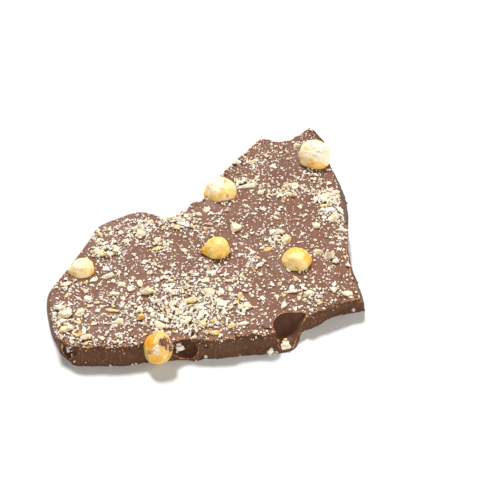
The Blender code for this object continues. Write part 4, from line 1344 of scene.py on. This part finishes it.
def lies_on_top(x, y, reach):
    """Whether rays dropped at a crumb's middle and ends all meet the poured top, and no hollow or edge."""
    lowest = top_height(x, y) - STEEPEST
    ends = ((0, 0), (reach, 0), (-reach, 0), (0, reach), (0, -reach))
    return all(level_under(x + side_x, y + side_y) > lowest for side_x, side_y in ends)

def draw_places(rng, wanted, sizes, bias, peaks):
    """Places and sizes of one kind of crumb. The higher peaks is, the more of them lie in the heaps."""
    found = []
    while len(found) < wanted:
        points = MAP_LOW + rng.random((2 * wanted, 2)) * MAP_SPAN
        size = between(sizes, rng.random(len(points)) ** bias) * MM
        thick = crumb_density(points[:, 0] / MM, points[:, 1] / MM, PINCHES, FINE_SCATTER)
        keep = rng.random(len(points)) < (thick / THICKEST) ** peaks
        drawn = np.column_stack([points[keep], size[keep]])
        found += [(x, y, long) for x, y, long in drawn if lies_on_top(x, y, REACH_SHARE * long)]
    return found[:wanted]

def settle(x, y, length, width, height):
    """Lays a crumb on what is there, returns how far its underside is above the poured top, and maps it."""
    column, row = cell_at(x, y)
    reach = max(1, int(0.5 * max(length, width) / CELL))
    window = strewn[max(0, column - reach):column + reach + 1, max(0, row - reach):row + reach + 1]
    below = SETTLED_SHARE * float(window.mean()) if window.size else 0.0
    a, b = np.ogrid[-reach:reach + 1, -reach:reach + 1]
    if window.shape == (2 * reach + 1, 2 * reach + 1):
        dome = 1 - (a * a + b * b) / (reach + 0.5) ** 2
        risen = below + height * (1 - SUNK_SHARE) * np.sqrt(np.clip(dome, 0, None))
        window[dome > 0] = np.maximum(window, risen)[dome > 0]
    return below

# %% [markdown]
# Thousands of objects would be slow, so each kind of crumb becomes one mesh: numpy copies the shapes' points
# into place and gives every crumb's points its tint. The chunks are few and large, so each is cut on its
# own and made finer, which gives it a rough skin. Largest first, as each kind lies on what is there.

# %% Join crumbs into one mesh for each kind
CHUNK_CUTS = 9
CHUNK_DIVISIONS = 3
CHUNK_EDGE = 0.12
CHUNK_ROUGH = 0.20
CHUNK_ROUGH_SCALE = 3.5
CHUNK_CRISP_ANGLE = math.radians(24)
TOASTED_TINTS, YELLOW_TINTS = (0.85, 1.05), (0.6, 0.85)

def joined(name, shapes, placed, finish, rng, value="tint"):
    """One mesh of many crumbs. placed has x, y, z, length, width, height, turn and the value of each."""
    points, triangles, values = [], [], []
    start = 0
    for x, y, z, length, width, height, turn, own_value in placed:
        shape_points, shape_triangles = shapes[rng.integers(len(shapes))]
        tumble = np.array(Euler(rng.uniform(0, math.pi, 3)).to_matrix())
        own = shape_points @ tumble.T * (length, width, height)
        own = own @ np.array(Matrix.Rotation(turn, 3, "Z")).T + (x, y, z)
        points.append(own)
        triangles.append(shape_triangles + start)
        values.append(np.full(len(own), own_value))
        start += len(own)
    mesh = bpy.data.meshes.new(name)
    mesh.from_pydata(np.concatenate(points), [], np.concatenate(triangles))
    add_values(mesh, value, np.concatenate(values))
    print(name + ":", len(placed), "pieces,", len(mesh.polygons), "faces")
    return object_of(mesh, name, finish)

def random_tint(rng, toasted=0.05, creamy=0.5):
    """Most crumbs are white to cream, a few yellow, fewer still toasted."""
    draw = rng.random()
    if draw < toasted:
        return rng.uniform(*TOASTED_TINTS)
    if draw < 3 * toasted:
        return rng.uniform(*YELLOW_TINTS)
    return rng.uniform(0.0, creamy)

def laid(x, y, length, width):
    """The height of a larger crumb, and how high its middle lies once it has settled."""
    height = CHUNK_HEIGHT * min(length, width)
    below = settle(x, y, length, width, height)
    return height, fine_top(x, y) + below + height * (0.5 - SUNK_SHARE)

def make_chunks():
    """The largest pieces, each a shape of its own."""
    rng = random.Random(SEED + 2)
    pieces = bmesh.new()
    tint_layer = pieces.verts.layers.float.new("tint")
    for x, y, length, width, turn, tint in chunk_places:
        height, lift = laid(x, y, length, width)
        shape = chopped(rng, CHUNK_CUTS, ball_detail=2)
        for _ in range(CHUNK_DIVISIONS):
            longest = [e for e in shape.edges if e.calc_length() > CHUNK_EDGE]
            bmesh.ops.subdivide_edges(shape, edges=longest, cuts=1)
            bmesh.ops.triangulate(shape, faces=shape.faces)
        for vert in shape.verts:
            seen_at = vert.co + Vector((x, y, 0)) / MM
            vert.co *= 1 + CHUNK_ROUGH * noise.fractal(seen_at * CHUNK_ROUGH_SCALE, 0.6, 2.0, 3)
        place = Matrix.Translation((x, y, lift)) @ Matrix.Rotation(turn, 4, "Z")
        shape.transform(place @ Matrix.Diagonal((length, width, height, 1)))
        mesh = bpy.data.meshes.new("chunk")
        shape.to_mesh(mesh)
        shape.free()
        before = len(pieces.verts)
        pieces.from_mesh(mesh)
        pieces.verts.ensure_lookup_table()
        for vert in pieces.verts[before:]:
            vert[tint_layer] = tint
        bpy.data.meshes.remove(mesh)
    made = object_from(pieces, "nut_chunks", CHOPPED)
    made.data.shade_smooth()
    made.data.set_sharp_from_angle(angle=CHUNK_CRISP_ANGLE)
    print("nut_chunks:", len(chunk_places), "pieces,", len(made.data.polygons), "faces")
    return made

def make_grains():
    rng = np.random.default_rng(SEED + 3)
    placed = []
    for x, y, length, width, turn, _ in grain_places:
        height, lift = laid(x, y, length, width)
        placed.append((x, y, lift, length, width, height, turn, random_tint(rng)))
    return joined("nut_grains", CHIP_SHAPES, placed, CHOPPED, rng)

# The finer crumbs: their shapes, how many are drawn, their sizes, their widths and heights as shares of the
# length, how strongly small ones prevail, how strongly they keep to the heaps, and random_tint's numbers.
FINE_CRUMBS = {
    "nut_splinters": (CHIP_SHAPES, 240, (1.7, 3.9), (0.3, 0.8), 1.4, 1.6, (0.05, 0.5)),
    "nut_meal": (CHIP_SHAPES, 2100, (0.8, 1.8), (0.4, 0.9), 1.7, 1.15, (0.015, 0.3)),
    "nut_dust": (DUST_SHAPES, 6300, (0.5, 1.2), (0.4, 0.9), 2.0, 0.75, (0.005, 0.08)),
}

def make_fine(name, seed):
    """Many crumbs of one kind, most of them in the heaps, each laid on what is there."""
    shapes, wanted, sizes, widths, bias, peaks, tints = FINE_CRUMBS[name]
    rng = np.random.default_rng(seed)
    placed = []
    for x, y, size in draw_places(rng, wanted, sizes, bias, peaks):
        if strewn[cell_at(x, y)] > CLEAN_TOP and rng.random() > LEFT_ON_TOP:
            continue
        width, height = size * rng.uniform(*widths), size * rng.uniform(*widths)
        below = settle(x, y, size, width, height)
        lift = level_under(x, y) + below + height * (0.5 - 0.5 * SUNK_SHARE)
        placed.append((x, y, lift, size, width, height, rng.uniform(0, math.pi), random_tint(rng, *tints)))
    return joined(name, shapes, placed, CHOPPED, rng)

chunks = make_chunks()
grains = make_grains()
splinters = make_fine("nut_splinters", SEED + 4)
meal = make_fine("nut_meal", SEED + 5)
dust = make_fine("nut_dust", SEED + 6)

# %% [markdown]
# Crumbs stick wherever a break is still fresh: in the cup, in the empty socket, along the rims and at the
# foot. Their places are roughly known, so each is snapped to the nearest point of the slab. Flakes of
# chocolate do the same along the rims that crumbled, most of them near the top of the wall.

# %% Stuck crumbs and chocolate flakes
# Each stuck crumb: x, y, z, size and tint.
STUCK = [
    (32.6, -59.6, 0.6, 2.3, 0.95), (32.5, -62.3, 0.6, 3.4, 0.35), (31.4, -64.3, 1.0, 2.0, 0.1),
    (33.6, -63.2, 0.4, 2.0, 0.15), (31.0, -62.7, 1.1, 1.3, 0.1), (32.6, -64.2, 0.5, 1.2, 0.1),
    (31.8, -61.3, 1.1, 1.4, 0.8), (26.2, -65.7, 1.4, 2.6, 0.15), (27.3, -65.8, 0.9, 1.3, 0.1),
    (28.9, -65.8, 0.7, 1.1, 0.1), (-10.4, -66.1, 2.6, 3.4, 0.0), (-10.6, -65.3, 3.7, 2.2, 0.0),
    (-9.3, -64.8, 2.9, 1.6, 0.05), (0.8, -67.8, 6.5, 0.9, 0.1), (-11.2, -67.4, 2.5, 1.2, 0.1),
    (-55.2, -67.1, 4.9, 1.4, 0.0), (-54.0, -67.7, 3.2, 1.8, 0.0), (-52.6, -70.6, 8.2, 1.0, 0.1),
    (-51.9, -71.6, 3.8, 1.7, 0.3), (-51.3, -72.0, 2.6, 1.3, 0.7), (7.0, -67.1, 8.3, 1.1, 0.1),
    (0.6, -68.6, 1.3, 1.5, 0.1), (-37.4, -73.0, 0.7, 1.3, 0.05), (-27.2, -72.1, 0.9, 1.3, 0.05),
    (-28.6, -72.4, 0.6, 0.9, 0.1), (60.9, -43.4, 2.5, 1.7, 0.1), (59.8, -23.2, 8.0, 2.2, 0.05),
    (-3.4, -70.2, 0.3, 0.9, 0.2), (14.2, -67.5, 0.6, 0.7, 0.1), (-47.0, -72.8, 2.2, 0.6, 0.2),
    (-53.6, -70.2, 7.4, 0.8, 0.05), (-53.0, -70.9, 6.4, 0.7, 0.05), (-52.6, -71.2, 5.3, 0.8, 0.05),
]
STUCK_WIDTHS = (0.6, 0.95)
# Specks on the breaks and on the smear: how many, and their sizes.
SPECKS = 130
SPECK_SIZES = (0.25, 0.65)
SMEAR_SPECKS = 34
FLAKES = 520
FLAKE_SIZES = (0.25, 1.0)
FLAKE_WEAR = 1.2 * MM
SHARE_AT_FOOT = 0.08
SHARE_ON_WALL = 0.06
NEAR_TOP = 0.22
CLEAR_OF_FLOOR = 0.55
# Shavings that fell back on the top, near a crumbled rim.
SHAVINGS = 260
SHAVING_LENGTHS = (0.7, 2.2)
SHAVING_WIDTHS = (0.18, 0.4)
SHAVING_REACH = 5.0 * MM

def stuck_on(tree, place, size, rng, value, sunk=0.22):
    """One crumb of that size on the nearest surface, as joined wants it, never below the floor."""
    nearest, normal, _, _ = tree.find_nearest(place)
    middle = nearest + normal * (0.5 - sunk) * size
    middle.z = max(middle.z, CLEAR_OF_FLOOR * size)
    width, height = size * rng.uniform(*STUCK_WIDTHS), size * rng.uniform(*STUCK_WIDTHS)
    return (*middle, size, width, height, rng.uniform(0, math.pi), value)

def crumbled_sample(rng):
    """A random sample of the rim, more often where the rim has crumbled."""
    while True:
        sample = RIM[rng.integers(len(RIM))]
        if rng.random() < sample[2][2]:
            return sample

def along_the_breaks(rng):
    """A random place on a broken wall, near its top in most cases."""
    sample = crumbled_sample(rng)
    kind = rng.random()
    if kind < SHARE_AT_FOOT:
        return wall_point(sample, 0.02)
    if kind < SHARE_AT_FOOT + SHARE_ON_WALL:
        return wall_point(sample, rng.uniform(0.1, 0.9))
    return wall_point(sample, 1 - NEAR_TOP * rng.random() ** 1.5)

def make_stuck_crumbs(tree):
    rng = np.random.default_rng(SEED + 7)
    placed = [stuck_on(tree, Vector(place) * MM, size * MM, rng, tint) for *place, size, tint in STUCK]
    for _ in range(SPECKS):
        place = along_the_breaks(rng)
        placed.append(stuck_on(tree, place, rng.uniform(*SPECK_SIZES) * MM, rng, random_tint(rng)))
    smear_points = [v.co for v in smear.data.vertices]
    for n in rng.integers(len(smear_points), size=SMEAR_SPECKS):
        placed.append(stuck_on(tree, smear_points[n], rng.uniform(*SPECK_SIZES) * MM, rng, 0.1))
    return joined("stuck_crumbs", CHIP_SHAPES, placed, CHOPPED, rng)

def make_flakes(tree):
    rng = np.random.default_rng(SEED + 8)
    placed = []
    for _ in range(FLAKES):
        place = along_the_breaks(rng)
        size = between(FLAKE_SIZES, rng.random() ** 2) * MM
        placed.append(stuck_on(tree, place, size, rng, FLAKE_WEAR * rng.random(), sunk=0.35))
    for _ in range(SHAVINGS):
        sample = crumbled_sample(rng)
        x, y = wall_point(sample, 1.0).xy - sample[1] * SHAVING_REACH * rng.random() ** 1.5
        if not lies_on_top(x, y, 0.0):
            continue
        length = rng.uniform(*SHAVING_LENGTHS) * MM
        width = length * rng.uniform(*SHAVING_WIDTHS)
        wear = FLAKE_WEAR * rng.random()
        lift = fine_top(x, y) + 0.2 * width
        placed.append((x, y, lift, length, width, width, rng.uniform(0, math.pi), wear))
    return joined("chocolate_flakes", CHIP_SHAPES, placed, BROKEN, rng, value="from_edge")

bare_surface = surface_tree([slab, smear, nuts["hazelnut_front_break"]])
stuck_crumbs = make_stuck_crumbs(bare_surface)
flakes = make_flakes(bare_surface)

# %% [markdown]
# All pieces are done. Each moves to the shared origin in its mesh, so its object stays at the origin,
# unturned. Then each is attached to the root, and the plain solids of the slab and the nuts are hidden.

# %% Hand over
strewn_pieces = [chunks, grains, splinters, meal, dust, stuck_crumbs]
for piece in [slab, smear, flakes, *nuts.values(), *strewn_pieces]:
    piece.data.transform(TO_ORIGIN)
    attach(piece, "root")
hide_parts("bark_slab")
for name, nut in nuts.items():
    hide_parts(name)
print("handed over:", 3 + len(nuts) + len(strewn_pieces), "pieces")
